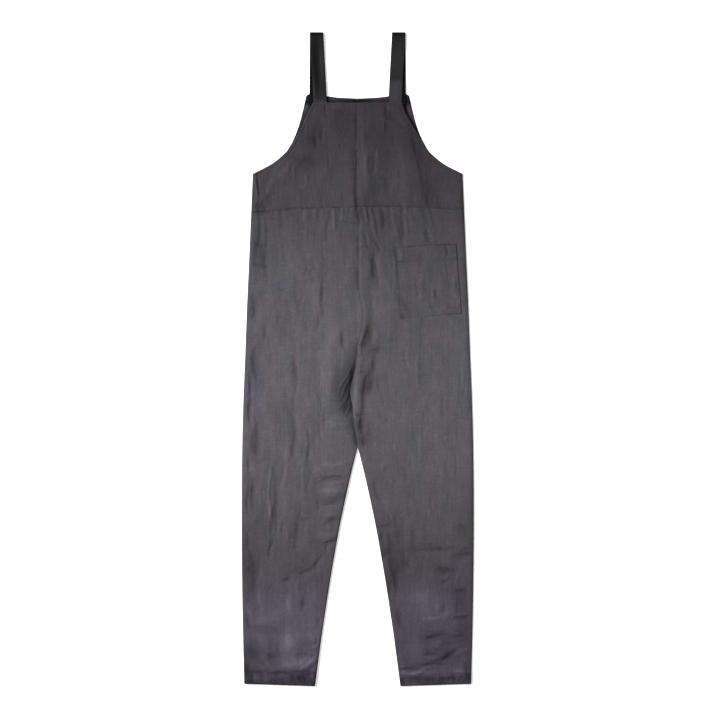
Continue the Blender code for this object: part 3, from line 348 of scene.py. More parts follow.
# painted shade and painted highlights along the straps' twists and creases: column, row, half width, half
# height, change
strapLightAndShadePatches = {
    "left": [
        (314.5, 56, 3.2, 22, -0.55), (316, 72, 3, 14, -0.5), (317.5, 84, 2.5, 8, -0.4),
        (321.5, 58, 2.4, 9, 1.1), (322.5, 72, 2.2, 10, 1.0), (322, 40, 3, 8, 0.35), (312, 66, 0.7, 10, 1.0),
        (313.8, 84, 0.8, 14, 1.2), (320, 92, 4, 3, 0.4), (323.5, 87, 1.8, 8, -0.2), (314.3, 93, 0.9, 8, 0.7),
        (317.5, 94, 3, 9, -0.3), (320, 103, 5, 3, 0.2),
    ],
    "right": [
        (397, 37, 6, 4, -0.25), (393, 44, 2, 12, 0.12), (400, 52, 3, 9, 0.12), (397, 66, 4, 10, 0.10),
        (396.5, 77, 5, 3, -0.12), (402, 86, 1.5, 10, -0.3), (396, 90, 3, 8, 0.08),
    ],
}
# painted shadow in the slots beside the straps and painted highlights on the back's corners: column, row,
# half width, half height, change
backLightAndShadePatches = [
    (311.3, 99, 2.3, 9, -0.93), (307.8, 101, 1.6, 4, 1.3), (305, 103, 1.8, 5, 0.7),
    (307.5, 95.5, 2.5, 1.5, -0.7), (306, 108, 2, 5, 0.5), (403.5, 99, 2.3, 9, -0.93),
    (407.4, 100.5, 1.5, 4, 1.6), (407.5, 95, 2.5, 1.5, -0.7), (408.5, 112, 2, 6, 0.6),
]

# Ease gathered into the waist seam: (x at the seam, x at its end, length, depth)
gathers = [
    (-168, -166, 60, 1.0), (-146, -148, 30, 0.7), (-120, -118, 66, 1.1), (-101, -100, 36, 0.8),
    (-84, -84, 58, 1.2), (-71, -72, 40, 0.8), (-58, -60, 70, 1.2), (-47, -48, 34, 0.8), (-38, -41, 62, 1.2),
    (-28, -29, 32, 0.8), (-18, -20, 54, 1.0), (10, 14, 34, 0.8), (22, 39, 84, 1.3), (36, 44, 40, 0.8),
    (52, 59, 56, 1.1), (70, 78, 34, 0.8), (84, 92, 46, 0.9), (101, 122, 60, 1.2), (124, 134, 38, 0.8),
    (146, 163, 76, 1.1), (182, 190, 44, 0.7),
]


def smoothStep(value):
    held = np.clip(value, 0.0, 1.0)
    return held * held * (3 - 2 * held)


def rising(value, start, span):        # 0 up to start, 1 after span
    return smoothStep((value - start) / span)


def falling(value, end, span):        # 0 from end on, 1 up to span before it
    return smoothStep((end - value) / span)


def hump(distance, width):        # 1 on a line, with soft tails
    return np.exp(-(distance / width) ** 2)


def mound(away):        # 1 on a line, nothing from 1 on
    return np.clip(1 - away * away, 0, 1) ** 2


def readCurve(rows, at):        # second column at a value of the first, along a smooth curve
    table = np.array(rows, float)
    keys, values = table[:, 0], table[:, 1]
    at = np.clip(np.asarray(at, float), keys[0], keys[-1])
    below = np.clip(np.searchsorted(keys, at, side="right") - 1, 0, len(keys) - 2)
    slopes = np.empty(len(keys))
    slopes[1:-1] = (values[2:] - values[:-2]) / (keys[2:] - keys[:-2])
    slopes[0] = (values[1] - values[0]) / (keys[1] - keys[0])
    slopes[-1] = (values[-1] - values[-2]) / (keys[-1] - keys[-2])
    span = keys[below + 1] - keys[below]
    t = (at - keys[below]) / span
    bend = slopes[below] * (t - 2 * t ** 2 + t ** 3) + slopes[below + 1] * (t ** 3 - t ** 2)
    start, end = values[below], values[below + 1]
    return start * (1 - 3 * t ** 2 + 2 * t ** 3) + end * (3 * t ** 2 - 2 * t ** 3) + bend * span


def spreadPoints(points, count):        # even spacing along a smooth curve through the points
    points = np.array(points, float)
    lengths = runLengths(points)
    steps = np.linspace(0, lengths[-1], count)
    return np.stack([readCurve(np.stack([lengths, points[:, axis]], 1), steps) for axis in (0, 1)], 1)


def runLengths(points):        # length along a line up to each of its points
    return np.concatenate([[0], np.cumsum(np.hypot(*np.diff(points, axis=0).T))])


def crowded(count):        # shares from 0 to 1, closer together at both ends, with one just off the seam
    even = np.linspace(0, 1, count)
    share = even - 0.5 * np.sin(2 * math.pi * even) / (2 * math.pi)
    return np.concatenate([[0, 0.0008], share[1:]])[None, :]


def softNoise(x, y, seed):        # smooth random heights from -1 to 1, a new one at each whole number
    size = 97
    table = np.random.RandomState(seed).uniform(-1, 1, (size, size))
    left, low = np.floor(x).astype(int), np.floor(y).astype(int)
    u, v = (t * t * t * (t * (t * 6 - 15) + 10) for t in (x - left, y - low))
    at = lambda i, j: table[(left + i) % size, (low + j) % size]
    return (at(0, 0) * (1 - u) + at(1, 0) * u) * (1 - v) + (at(0, 1) * (1 - u) + at(1, 1) * u) * v


def ripples(x, h, rows):        # rows: across, along, height, seed
    return sum(height * softNoise(x / across, h / along, seed) for across, along, height, seed in rows)


def lineNoise(x, rows):        # rows: across, row of the noise, height, seed
    return sum(height * softNoise(x / across, 0 * x + at, seed) for across, at, height, seed in rows)


def nearSegment(x, h, ends, reach):
    fromX, fromH, toX, toH = ends
    near = (x > min(fromX, toX) - reach) & (x < max(fromX, toX) + reach)
    return near & (h > min(fromH, toH) - reach) & (h < max(fromH, toH) + reach)


def offSegment(x, h, ends):        # share of the way along, and what is left sideways
    fromX, fromH, toX, toH = ends
    runX, runH = toX - fromX, toH - fromH
    share = np.clip(((x - fromX) * runX + (h - fromH) * runH) / (runX ** 2 + runH ** 2), 0, 1)
    return share, x - fromX - share * runX, h - fromH - share * runH


def pathDistance(x, h, points):        # distance to a line of points
    return np.minimum.reduce([np.hypot(*offSegment(x, h, start + end)[1:])
                              for start, end in zip(points[:-1], points[1:])])


def signOf(side):
    return -1.0 if side == "left" else 1.0


def sideX(side, h):
    return signOf(side) * readCurve(sideLine, h)


def waistHeight(x):
    return readCurve(waistSeam, x)


def armholeLine(side, layer="front"):
    return [(signOf(side) * x, h) for x, h in armholes["back" if layer == "back" else side]]


lap = {        # the right leg laps over the left between the crotch and where the legs part
    "reach": 9.0,
    "air": 0.7,
    "start": 30.0,
    "ramp": 32.0,
    "slope": 30.0,
    "heights": 120,          # points along the lap, and across it, for the cloth below it
    "across": 7,
}


def lapShare(h, start):
    fromCrotch = falling(h, garment["crotch"] - start, lap["ramp"])
    return fromCrotch * rising(h, garment["legsPart"] + start, lap["ramp"])


def innerX(side, h, layer):
    sign = signOf(side)
    upper = readCurve(centreSeam, h) + sign * garment["seamSplit"]
    lower = sign * readCurve(inseam, h)
    if layer == "back":
        upper = upper + garment["backShift"]
        rise = (h - garment["legsPart"]) / (garment["crotch"] - garment["legsPart"])
        between = rise * centreSeam[0][1] + sign * ((1 - rise) * inseam[-1][1] + rise * garment["seamSplit"])
    else:
        between = readCurve(lapEdge, h) + sign * garment["seamSplit"]
        if side == "left":
            between = between + lap["reach"] * lapShare(h, lap["start"])
    return np.where(h >= garment["crotch"], upper, np.where(h <= garment["legsPart"], lower, between))


def rounded(distance):
    inwards = np.clip(distance / garment["edgeRound"], 0, 1)
    return np.sqrt(1 - (1 - inwards) ** 2)


foldForm = {
    "lean": -0.35,           # steeper on the side towards the light
    "bow": 0.05,             # sideways swing for its length, to one side and the other in turn
    "ends": 0.45,            # share of the rise at both ends
    "belly": 2.2,
    "window": (1.4, 6.0),    # points looked at: half widths, and millimetres more
}


def foldRelief(x, h, rows, lean=foldForm["lean"]):
    total = np.zeros(np.shape(x))
    for order, (fromX, fromH, toX, toH, width, rise) in enumerate(rows):
        ends = (fromX, fromH, toX, toH)
        near = nearSegment(x, h, ends, foldForm["window"][0] * width + foldForm["window"][1])
        if not near.any():
            continue
        share, offX, offH = offSegment(x[near], h[near], ends)
        arch = share * (1 - share)
        swing = 4 * arch * foldForm["bow"] * (1 - 2 * (order % 2))
        offX = offX + swing * (toH - fromH)
        offH = offH - swing * (toX - fromX)
        farSide = offX > 0 if abs(toH - fromH) > abs(toX - fromX) else offH < 0
        away = np.hypot(offX, offH) / (width * np.where(farSide, 1 - lean, 1 + lean))
        total[near] += rise * (foldForm["ends"] + foldForm["belly"] * arch) * mound(away)
    return total


def toPhoto(x, h):
    return x / photo["scale"] + photo["middle"], photo["lowest"] - h / photo["scale"]


def fromPhoto(rows, gain):
    built = []
    for fromColumn, fromRow, toColumn, toRow, width, rise in rows:
        fromX, toX = ((column - photo["middle"]) * photo["scale"] for column in (fromColumn, toColumn))
        fromH, toH = ((photo["lowest"] - row) * photo["scale"] for row in (fromRow, toRow))
        shift = photo["lightShift"] * width
        if abs(toH - fromH) > abs(toX - fromX):
            fromX, toX = fromX + shift, toX + shift
        else:
            fromH, toH = fromH - shift, toH - shift
        built.append((fromX, fromH, toX, toH, width, rise * gain))
    return built


softRows = fromPhoto(softFolds, photo["softGain"])
creaseRows = fromPhoto(creases, photo["creaseGain"])

crotchRoll = {        # the left leg's front rolls over into the hollow beside the lap
    "crest": [(590, -52), (629, -57), (673, -53), (717, -47), (761, -39), (810, -32)],      # (h, x)
    "height": [(560, 0), (600, 3.6), (640, 6.4), (690, 6.2), (730, 3.8), (770, 1.4), (810, 0)],
    "near": 42.0,
    "footIn": 1.0,           # foot of the roll, in from the lap's edge
    "bend": (2.4, 0.75),     # powers of the roll's inner side
    "press": (4, 4.0, 12.0),       # its foot is flat: power, height of a full roll, distance past it
}


def crotchRelief(x, h):
    crest = readCurve(crotchRoll["crest"], h)
    foot = np.where(h > garment["crotch"], readCurve(centreSeam, h), readCurve(lapEdge, h))
    foot = foot - crotchRoll["footIn"]
    height = np.clip(readCurve(crotchRoll["height"], h), 0, None)
    down = np.clip((x - crest) / (foot - crest), 0, 1)
    steep, blunt = crotchRoll["bend"]
    outside = mound(np.clip(crest - x, 0, None) / crotchRoll["near"])
    roll = height * np.where(x > crest, (1 - down ** steep) ** blunt, outside)
    power, full, past = crotchRoll["press"]
    return roll - garment["loft"] * down ** power * np.clip(height / full, 0, 1) * (x < foot + past)


lapFolds = [        # the right leg's rolled edge and the dip behind it
    (-4, 690, -6, 606, 13, 2.4), (26, 684, 18, 648, 15, -2.8), (14, 648, 4, 560, 12, -1.8),
    (8, 720, -2, 688, 9, 1.0), (-3, 716, 12, 718, 4.5, 1.2), (-4, 703, 10, 705, 4.5, 1.1),
    (-5, 691, 7, 694, 4, 1.0),
]
hollowCreases = [        # drag lines in the hollow, down from the lap
    (-14, 700, -38, 660, 4, 0.9), (-12, 684, -36, 632, 4, 1.0), (-15, 660, -38, 612, 4, 0.9),
    (-20, 640, -34, 598, 4, 0.8), (-16, 624, -28, 592, 3.5, 0.8), (-26, 676, -42, 640, 3.5, 0.7),
]
crumple = {        # the small unevenness of washed linen: (across, along, height, seed)
    "broad": (62.0, 130.0, 0.55, 11),
    "middle": (24.0, 88.0, 0.34, 23),
    "fine": (11.0, 42.0, 0.15, 37),
    "cross": (46.0, 17.0, 0.10, 41),
}
crumpleDrift = (90, 110, 0.25, 500)


def crumpleRelief(x, h, shift=0):
    total = np.zeros(np.shape(x))
    wide, tall, reach, seedShift = crumpleDrift
    for across, along, height, seed in crumple.values():
        drift = reach * softNoise(x / wide, h / tall, seed + seedShift + shift)
        total += height * softNoise(x / across + drift, h / along + drift, seed + shift)
    return total


gatherForm = {
    "below": 2.0,            # start under the waist seam
    "width": (5.5, 5.0),     # half width at the seam, and how much wider at its end
    "fade": 1.3,
    "ridge": (0.35, 1.3, 0.5),       # beside the trough: share of its depth, place, half width
}


def gatherRelief(x, h):
    below = waistHeight(x) - h - gatherForm["below"]
    narrow, wider = gatherForm["width"]
    ridge, place, ridgeWidth = gatherForm["ridge"]
    total = np.zeros(np.shape(x))
    for x0, x1, length, depth in gathers:
        along = np.clip(below / length, 0, 1)
        away = (x - (x0 + (x1 - x0) * along)) / (narrow + wider * along)
        fade = depth * (1 - along) ** gatherForm["fade"]
        profile = ridge * hump(np.abs(away) - place, ridgeWidth) - mound(away)
        total += np.where(below > 0, fade * profile, 0)
    return total


seams = {
    "waist": (0.45, 4.5),                # depth and half width of a groove
    "centre": (0.3, 4.5),
    "bibRidge": (0.5, 19.0, 12.0),       # of the allowance: height, distance right of the seam, half width
    "legRidge": (0.45, 7.0, 5.0),
    "start": (6.0, 14.0),                # the centre seam starts below the crotch, over this height
    "waistPucker": [(7, 26, 0.35, 811)],
    "centrePucker": [(22, 8, 0.3, 812)],
    "puckerWidth": (11.0, 10.0),
}


def groove(distance, depth, width):
    return -depth * np.clip(1 - np.abs(distance) / width, 0, 1) ** 1.5


def seamRelief(x, h):        # on the front
    fromWaist = h - waistHeight(x)
    onBib = fromWaist > 0
    away = x - np.where(onBib, garment["bibSeam"], readCurve(centreSeam, h))
    before, over = seams["start"]
    onSeam = rising(h, garment["crotch"] - before, over)
    centre = groove(away, *seams["centre"])
    for name, part in (("bibRidge", onBib), ("legRidge", ~onBib)):
        height, place, width = seams[name]
        centre = centre + part * height * mound((away - place) / width)
    nearWaist, nearCentre = map(hump, (fromWaist, away), seams["puckerWidth"])
    pucker = ripples(x, h, seams["waistPucker"]) * nearWaist
    pucker = pucker + ripples(x, h, seams["centrePucker"]) * nearCentre * onSeam
    return groove(fromWaist, *seams["waist"]) + centre * onSeam + pucker


def hemSlant(base):        # how much higher the outer end of a row is than its inner end
    return hem["rise"] * smoothStep(1 - base / hem["fade"])


def hemHeight(side, x, h, layer="front"):        # height above the slanting hem edge
    outer = sideX(side, h)
    inner = innerX(side, h, layer)
    return h - hemSlant(h) * np.clip((x - inner) / (outer - inner), 0, 1)


def hemWander(x):
    return lineNoise(x, hem["wander"])


def hemRelief(x, up):
    slantX, slantH, across, along, height, seed = hem["slanted"]
    slanted = height * softNoise((x + slantX * up) / across, (up - slantH * x) / along, seed)
    depth, width, share = hem["groove"]
    band = falling(up, hem["stitch"] + hem["band"], hem["band"])
    pucker = hem["pucker"] * (ripples(x, up, hem["ripples"]) + slanted) * band
    return pucker - depth * hump(up - hem["stitch"] - share * hemWander(x), width)


def hemExtra(up):
    return hem["extra"] * falling(up, hem["depth"] + hem["step"], hem["step"])


straps = {
    "width": 30.0,
    "wall": 1.6,
    "foldRadius": 1.8,
    "backX": 91.0,
    "backHeight": 1302.0,
    "topX": 90.3,
    "frontX": 82.2,
    "tail": 22.0,
    "tailRoom": (10.0, 46.0, 105.0),       # room beside the tails, and how far it eases away across and down
    "stitchIn": 2.6,         # edge stitching in from the strap's edges
    "stitchDip": (0.22, 0.9),
    "edgeRound": 0.7,
    "climb": [(1306, 1.0), (1319, 0.5), (1332, 0.0)],
    "opening": [(1380, 0.0), (1414, 0.7), (1434.9, 1.0)],
    "wave": (34.0, 0.5, 301),       # along, height, seed
    "waveFrom": 1290.0,
    "waveRamp": 20.0,
    "waveRow": {"left": 5, "right": 8},
    "stations": 120,
    "turns": 12,
    "acrossPoints": 25,
    "crowding": 0.25,        # how much closer the points are at the strap's edges
    "leastThick": 0.02,      # share of the thickness left at its very edge, squared
    "backShade": 0.10,       # of the far run, in the shade of the near one
    # painted shade on the near run, darker up to the fold as the light falls off: (height, tone)
    "left": [(1260, 0.34), (1282, 0.28), (1300, 0.16), (1340, 0.13), (1400, 0.105), (1426, 0.095),
             (1433, 0.03)],
    "right": [(1260, 0.38), (1318, 0.36), (1328, 0.34), (1333, 0.21), (1400, 0.155), (1426, 0.125),
              (1433, 0.03)],
}


def strapTailLift(x, h):        # room under the bib's corners for the ends of the straps
    room, across, down = straps["tailRoom"]
    beside = np.abs(np.abs(x) - straps["frontX"]) - straps["width"] / 2 - room
    below = garment["bibTop"] - straps["tail"] - room - h
    apart = np.hypot(np.clip(beside, 0, None) / across, np.clip(below, 0, None) / down)
    return (1 - smoothStep(apart)) * (2 * straps["wall"] + 2 * garment["layerGap"] - garment["leastAir"])


def frontUnder(x, h, edge, opening, relief):
    openShare = garment["openLift"] + (1 - garment["openLift"]) * rounded(opening)
    folds = foldRelief(x, h, mainFolds) + foldRelief(x, h, softRows) + foldRelief(x, h, creaseRows, 0)
    air = garment["loft"] + folds + crumpleRelief(x, h) + relief
    air = (air + np.hypot(air, garment["softening"])) / 2
    air = np.maximum(air * rounded(edge) * openShare, garment["leastAir"])
    return garment["wall"] + garment["layerGap"] + air + strapTailLift(x, h)


def legUnder(side, x, h):
    x, h = np.broadcast_arrays(np.asarray(x, float), np.asarray(h, float))
    toSide = np.abs(sideX(side, h) - x)
    toInner = np.abs(x - innerX(side, h, "front"))
    if side == "left":
        sooner, over = garment["leftInseam"]
        toInner = toInner * (1 + sooner * falling(h, garment["legsPart"], over))
    below = falling(h, garment["crotch"], garment["crotchEase"])
    inRound = garment["edgeRound"] - toInner
    toInner = np.where(inRound > 0, garment["edgeRound"] - inRound * below, toInner)
    up = hemHeight(side, x, h)
    relief = gatherRelief(x, h) + seamRelief(x, h) + hemRelief(x, up)
    if side == "left":
        relief = relief + crotchRelief(x, h) + foldRelief(x, h, hollowCreases, 0)
    else:
        relief = relief + foldRelief(x, h, lapFolds)
    under = frontUnder(x, h, np.minimum(toSide, toInner), up, relief) + hemExtra(up)
    if side == "right":
        tops = np.interp(h, lapHeights, lapTops)
        lift = (tops + lap["air"] - garment["wall"] - garment["layerGap"]) * lapShare(h, 0)
        under = under + lift * (1 - rising(x, readCurve(lapEdge, h) + lap["reach"], lap["slope"]))
    return under


def legTop(side, x, h):
    return legUnder(side, x, h) + garment["wall"] + hemExtra(hemHeight(side, x, h))


lapHeights = np.linspace(garment["legsPart"], garment["crotch"], lap["heights"])
lapTops = np.zeros(len(lapHeights))
for reach in np.linspace(0, lap["reach"], lap["across"]):
    lapTops = np.maximum(lapTops, legTop("left", readCurve(lapEdge, lapHeights) + reach, lapHeights))


def toWorld(x, h, z):
    return np.stack(np.broadcast_arrays(x, h - garment["length"] / 2, z), -1) * 0.001


def addItem(name, data):
    item = bpy.data.objects.new(name, data)
    bpy.context.scene.collection.objects.link(item)
    return item


def giveValues(mesh, name, values):
    mesh.attributes.new(name, "FLOAT", "POINT").data.foreach_set("value", np.asarray(values, np.float32))


def meshObject(name, vertices, faces, tone, material):
    mesh = bpy.data.meshes.new(name)
    mesh.from_pydata(vertices.tolist(), [], faces.tolist())
    giveValues(mesh, "tone", tone)
    mesh.shade_smooth()
    mesh.materials.append(material)
    return addItem(name, mesh)


def makeShell(name, x, h, low, high, outward, tone, material):
    # outward: how far the edge stands out at the first row, outer side, last row and inner side
    lowRow, rightSide, lastRow, leftSide = outward
    if x[0, -1] < x[0, 0]:
        x, h, low, high, tone = (grid[:, ::-1] for grid in (x, h, low, high, tone))
        rightSide, leftSide = leftSide, rightSide
    rows, columns = x.shape
    number = np.arange(rows * columns).reshape(rows, columns)
    cells = [number[:-1, :-1], number[:-1, 1:], number[1:, 1:], number[1:, :-1]]
    upper = np.stack(cells, -1).reshape(-1, 4)
    lower = upper[:, ::-1] + rows * columns
    border = np.concatenate([number[0, :-1], number[:-1, -1], number[-1, :0:-1], number[:0:-1, 0]])
    stand = np.repeat([lowRow, rightSide, lastRow, leftSide], [columns - 1, rows - 1, columns - 1, rows - 1])
    stand = np.minimum(stand, np.roll(stand, 1))
    flatX, flatH = x.reshape(-1)[border], h.reshape(-1)[border]
    runX, runH = (np.roll(flat, -1) - np.roll(flat, 1) for flat in (flatX, flatH))
    length = np.hypot(runX, runH)
    middle = (low.reshape(-1)[border] + high.reshape(-1)[border]) / 2
    ring = toWorld(flatX + stand * runH / length, flatH - stand * runX / length, middle)
    around = np.arange(len(border)) + 2 * rows * columns
    nextBorder, nextAround = np.roll(border, -1), np.roll(around, -1)
    edges = [np.stack([border + rows * columns, nextBorder + rows * columns, nextAround, around], -1),
             np.stack([around, nextAround, nextBorder, border], -1)]
    vertices = np.concatenate([toWorld(x, h, high).reshape(-1, 3), toWorld(x, h, low).reshape(-1, 3), ring])
    flatTone = tone.reshape(-1)
    tones = np.concatenate([flatTone, flatTone, flatTone[border]])
    return meshObject(name, vertices, np.concatenate([upper, lower] + edges), tones, material)


class Wire:        # a socket that can be added, multiplied and so on
    def __init__(self, tree, socket=None):
        self.tree = tree
        self.socket = socket

    def make(self, kind, settings, inputs, output=0):        # any node: its settings first, then its sockets
        node = self.tree.nodes.new(kind)
        for key, value in settings.items():
            setattr(node, key, value)
        for key, value in inputs.items():
            if isinstance(value, Wire):
                self.tree.links.new(value.socket, node.inputs[key])
            else:
                node.inputs[key].default_value = value
        return Wire(self.tree, node.outputs[output])

    def maths(self, operation, first, second=0.0):
        return self.make("ShaderNodeMath", {"operation": operation}, {0: first, 1: second})

    def __add__(self, other):
        return self.maths("ADD", self, other)

    def __mul__(self, other):
        return self.maths("MULTIPLY", self, other)

    def __sub__(self, other):
        return self.maths("SUBTRACT", self, other)

    def __rsub__(self, other):
        return self.maths("SUBTRACT", other, self)

    __radd__ = __add__

    def between(self, low, high):        # 0 below low, 1 above high
        settings = {"interpolation_type": "SMOOTHSTEP"}
        return self.make("ShaderNodeMapRange", settings, {0: self, 1: low, 2: high})

    def stretched(self, scale):
        return self.make("ShaderNodeVectorMath", {"operation": "MULTIPLY"}, {0: self, 1: scale})

    def scaled(self, factor):
        return self.make("ShaderNodeVectorMath", {"operation": "SCALE"}, {0: self, "Scale": factor})

    def axis(self, index):
        return self.make("ShaderNodeSeparateXYZ", {}, {0: self}, index)

    def mix(self, first, second):        # of two colours
        settings = {"data_type": "RGBA", "blend_type": "MIX"}
        return self.make("ShaderNodeMix", settings, {0: self, 6: first, 7: second}, 2)

    def attribute(self, name):
        return self.make("ShaderNodeAttribute", {"attribute_name": name}, {}, "Fac")

    def noise(self, scale, detail=1.0, roughness=0.5):
        inputs = {"Vector": self.stretched(scale), "Scale": 1.0, "Detail": detail, "Roughness": roughness}
        return self.make("ShaderNodeTexNoise", {}, inputs) - 0.5


cloth = {
    "charcoal": (0.0965, 0.0875, 0.0985, 1),
    "slate": (0.0880, 0.0880, 0.1010, 1),
    "violet": (0.098, 0.085, 0.130, 1),       # painted shade colour, in the hems' shadows and the hollows
    "lilac": (0.098, 0.0845, 0.111, 1),       # the lilac tint towards the hems
    "bibTint": (1.03, 0.982, 1.03),
    "tint": (0.7, 0.5),                       # how far the lilac strays with hue and patch
    "lilacRange": (-560.0, -400.0),           # y where it is full, and where it is gone
    "warmRange": (-380.0, -120.0),
    "warmth": 0.09,
    "hueRange": (-0.13, 0.08),                # of the noise, from slate to charcoal
    "thread": 0.85,                           # from one warp thread to the next
    # for warp and weft: their streaks, wander, drift with the streaks, threads for one of warp
    "waves": [("warpStreak", 3.0, 0.5, 1.0), ("weftSlub", 2.0, 0.5, 0.94)],
    "brightness": 0.975,
    "roughness": (0.86, 0.2),                 # and how far the grain changes it
    "specular": 0.06,
    "sheen": (0.04, 0.55),
    "bump": (0.85, 0.00016),                  # strength, distance in metres
}
clothNoise = {        # cells per millimetre along x, y and z, detail, roughness
    "wander": ((0.05, 0.02, 0.05), 1.0),
    "warpStreak": ((0.62, 0.036, 0.62), 2.0, 0.65),        # long threads that run up the garment
    "longStreak": ((0.17, 0.012, 0.17), 1.0),
    "weftSlub": ((0.05, 0.55, 0.3), 2.0, 0.6),
    "grain": ((0.75, 0.42, 0.75), 2.0, 0.7),
    "cloud": ((0.016, 0.008, 0.016), 3.0, 0.6),
    "patch": ((0.055, 0.028, 0.055), 2.0, 0.55),
    "hue": ((0.034, 0.015, 0.034), 2.0, 0.5),
    "fleck": ((0.55, 0.085, 0.55), 0.0),
    "slubMark": ((0.11, 0.70, 0.3), 0.0),         # thick weft threads
    "darkEnd": ((0.75, 0.07, 0.75), 0.0),         # dark warp threads
}
# Where in its noise a mark begins, and where it is full
clothMarks = {"fleck": (0.18, 0.27), "slubMark": (0.20, 0.26), "darkEnd": (0.20, 0.27)}
clothShade = {"warpStreak": 0.34, "longStreak": 0.272, "weftSlub": 0.30, "grain": 0.10, "darkEnd": -0.13,
              "cloud": 0.42, "patch": 0.336, "fleck": 0.21, "slubMark": 0.189, "weave": 0.05}
clothHeight = {"weave": 0.5, "warpStreak": 1.6, "weftSlub": 1.1, "grain": 0.8, "fleck": 0.5}


def weighted(parts, strengths):
    total = 0.0
    for name, strength in strengths.items():
        total = parts[name] * strength + total
    return total


def makeLinen(name, shift, tint=(1, 1, 1)):
    material = bpy.data.materials.new(name)
    material.use_nodes = True
    tree = material.node_tree
    tree.nodes.clear()
    start = Wire(tree)
    place = start.make("ShaderNodeTexCoord", {}, {}, "Object")
    inMillimetres = {"Vector": place, "Location": shift, "Scale": (1000, 1000, 1000)}
    spot = start.make("ShaderNodeMapping", {}, inMillimetres)
    parts = {part: spot.noise(*row) for part, row in clothNoise.items()}
    for mark, (low, high) in clothMarks.items():
        parts[mark] = parts[mark].between(low, high)
    turn = 2 * math.pi / cloth["thread"]
    waves = []
    for axis, (streak, wander, drift, count) in enumerate(cloth["waves"]):
        phase = spot.axis(axis) + parts["wander"] * wander + parts[streak] * drift
        waves.append(start.maths("SINE", phase * (turn * count)))
    parts["weave"] = waves[0] * waves[1]

    # the tone attribute holds the cloth's tone together with its painted light and shade
    shade = (weighted(parts, clothShade) + cloth["brightness"]) * start.attribute("tone")
    up = place.stretched((0, 1000, 0)).axis(1)
    byHue, byPatch = cloth["tint"]
    lilac = (1 - up.between(*cloth["lilacRange"])) + parts["hue"] * byHue + parts["patch"] * byPatch
    lilac = start.maths("MINIMUM", start.maths("MAXIMUM", lilac), 1.0)
    warm = parts["hue"] + (1 - up.between(*cloth["warmRange"])) * cloth["warmth"]
    colour = warm.between(*cloth["hueRange"]).mix(cloth["slate"], cloth["charcoal"])
    colour = lilac.mix(colour, cloth["lilac"])
    # the violet attribute paints a shade colour into the hems, the hollow beside the lap and the deeper
    # folds
    colour = start.attribute("violet").mix(colour, cloth["violet"])
    colour = colour.stretched(tint).scaled(shade)
    strength, distance = cloth["bump"]
    height = weighted(parts, clothHeight)
    normal = start.make("ShaderNodeBump", {}, {"Strength": strength, "Distance": distance, "Height": height})
    roughness, grainShare = cloth["roughness"]
    sheen, sheenRoughness = cloth["sheen"]
    shader = start.make("ShaderNodeBsdfPrincipled", {}, {
        "Base Color": colour, "Roughness": roughness + parts["grain"] * grainShare, "Normal": normal,
        "Specular IOR Level": cloth["specular"], "Sheen Weight": sheen, "Sheen Roughness": sheenRoughness})
    target = tree.nodes.new("ShaderNodeOutputMaterial")
    tree.links.new(shader.socket, target.inputs["Surface"])
    return material


# Each kind of piece is cut from its own stretch of the weave
legLinen = makeLinen("legLinen", (0, 0, 0))
bibLinen = makeLinen("bibLinen", (613, 240, 0), cloth["bibTint"])
strapLinen = makeLinen("strapLinen", (140, 905, 0))
pocketLinen = makeLinen("pocketLinen", (330, 470, 0))
backLinen = makeLinen("backLinen", (820, 130, 0))
print("materials made")


def finishPiece(piece, node):
    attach(piece, "root")
    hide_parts(node)
    return piece


legs = {
    "frontStep": 2.32,
    "backStep": 4.0,
    "across": 240.0,
    "edgeOut": 0.5,
    "flat": {"front": (0.275, 1.09), "back": (0.275, 1.09)},      # what shows of one leg
    "area": 0.238,
    "blend": (-14.0, 36.0),       # between the two legs' tones, from this side of the seam, over this width
    "blendFade": 60.0,
    "shadeBelow": 4.0,       # the centre seam's shadow ends this far below the crotch
    "rowUnderWaist": 0.2,    # a row this far below the seam keeps its edge sharp
    "rounds": 4,             # to settle the rows on the slanting hem and the curved waist
    "backCrumple": (0.5, 7),              # share of the front's, and what its seeds are moved by
    "backCrease": (0.35, 1.8),            # height and half width of the hem's stitched line
    # painted shade: brightness up the leg, falling off from the middle of the legs towards the hems and the
    # waist as the light does: (height, tone)
    "left": [(0, 0.30), (24, 0.35), (33, 0.46), (44, 0.65), (65, 0.66), (145, 0.72), (255, 0.61),
             (365, 0.70), (508, 0.89), (662, 0.93), (783, 0.90), (904, 0.79), (998, 0.65), (1045, 0.58)],
    "right": [(0, 0.31), (18, 0.33), (27, 0.43), (36, 0.47), (65, 0.455), (145, 0.60), (255, 0.535),
              (365, 0.64), (508, 0.80), (672, 0.81), (772, 0.78), (880, 0.70), (1010, 0.54), (1045, 0.50)],
}


def legGrid(side, layer, step):
    waist = garment["waistRow"]
    base = np.linspace(0, waist, round(waist / step) + 1)[:, None]
    share = crowded(round(legs["across"] / step) + 1)
    base = np.concatenate([base[:-1], [[waist - legs["rowUnderWaist"]]], base[-1:]])
    h = base + 0 * share
    for _ in range(legs["rounds"]):
        inner = innerX(side, h, layer)
        x = inner + (sideX(side, h) - inner) * share
        h = base + hemSlant(base) * share
        nearWaist = np.clip((base - garment["waistBend"]) / (waist - garment["waistBend"]), 0, 1)
        seamH = waistHeight(x) - (garment["backShift"] if layer == "back" else 0)
        h = h + nearWaist * (seamH - garment["seamSplit"] - waist)
    return x, h


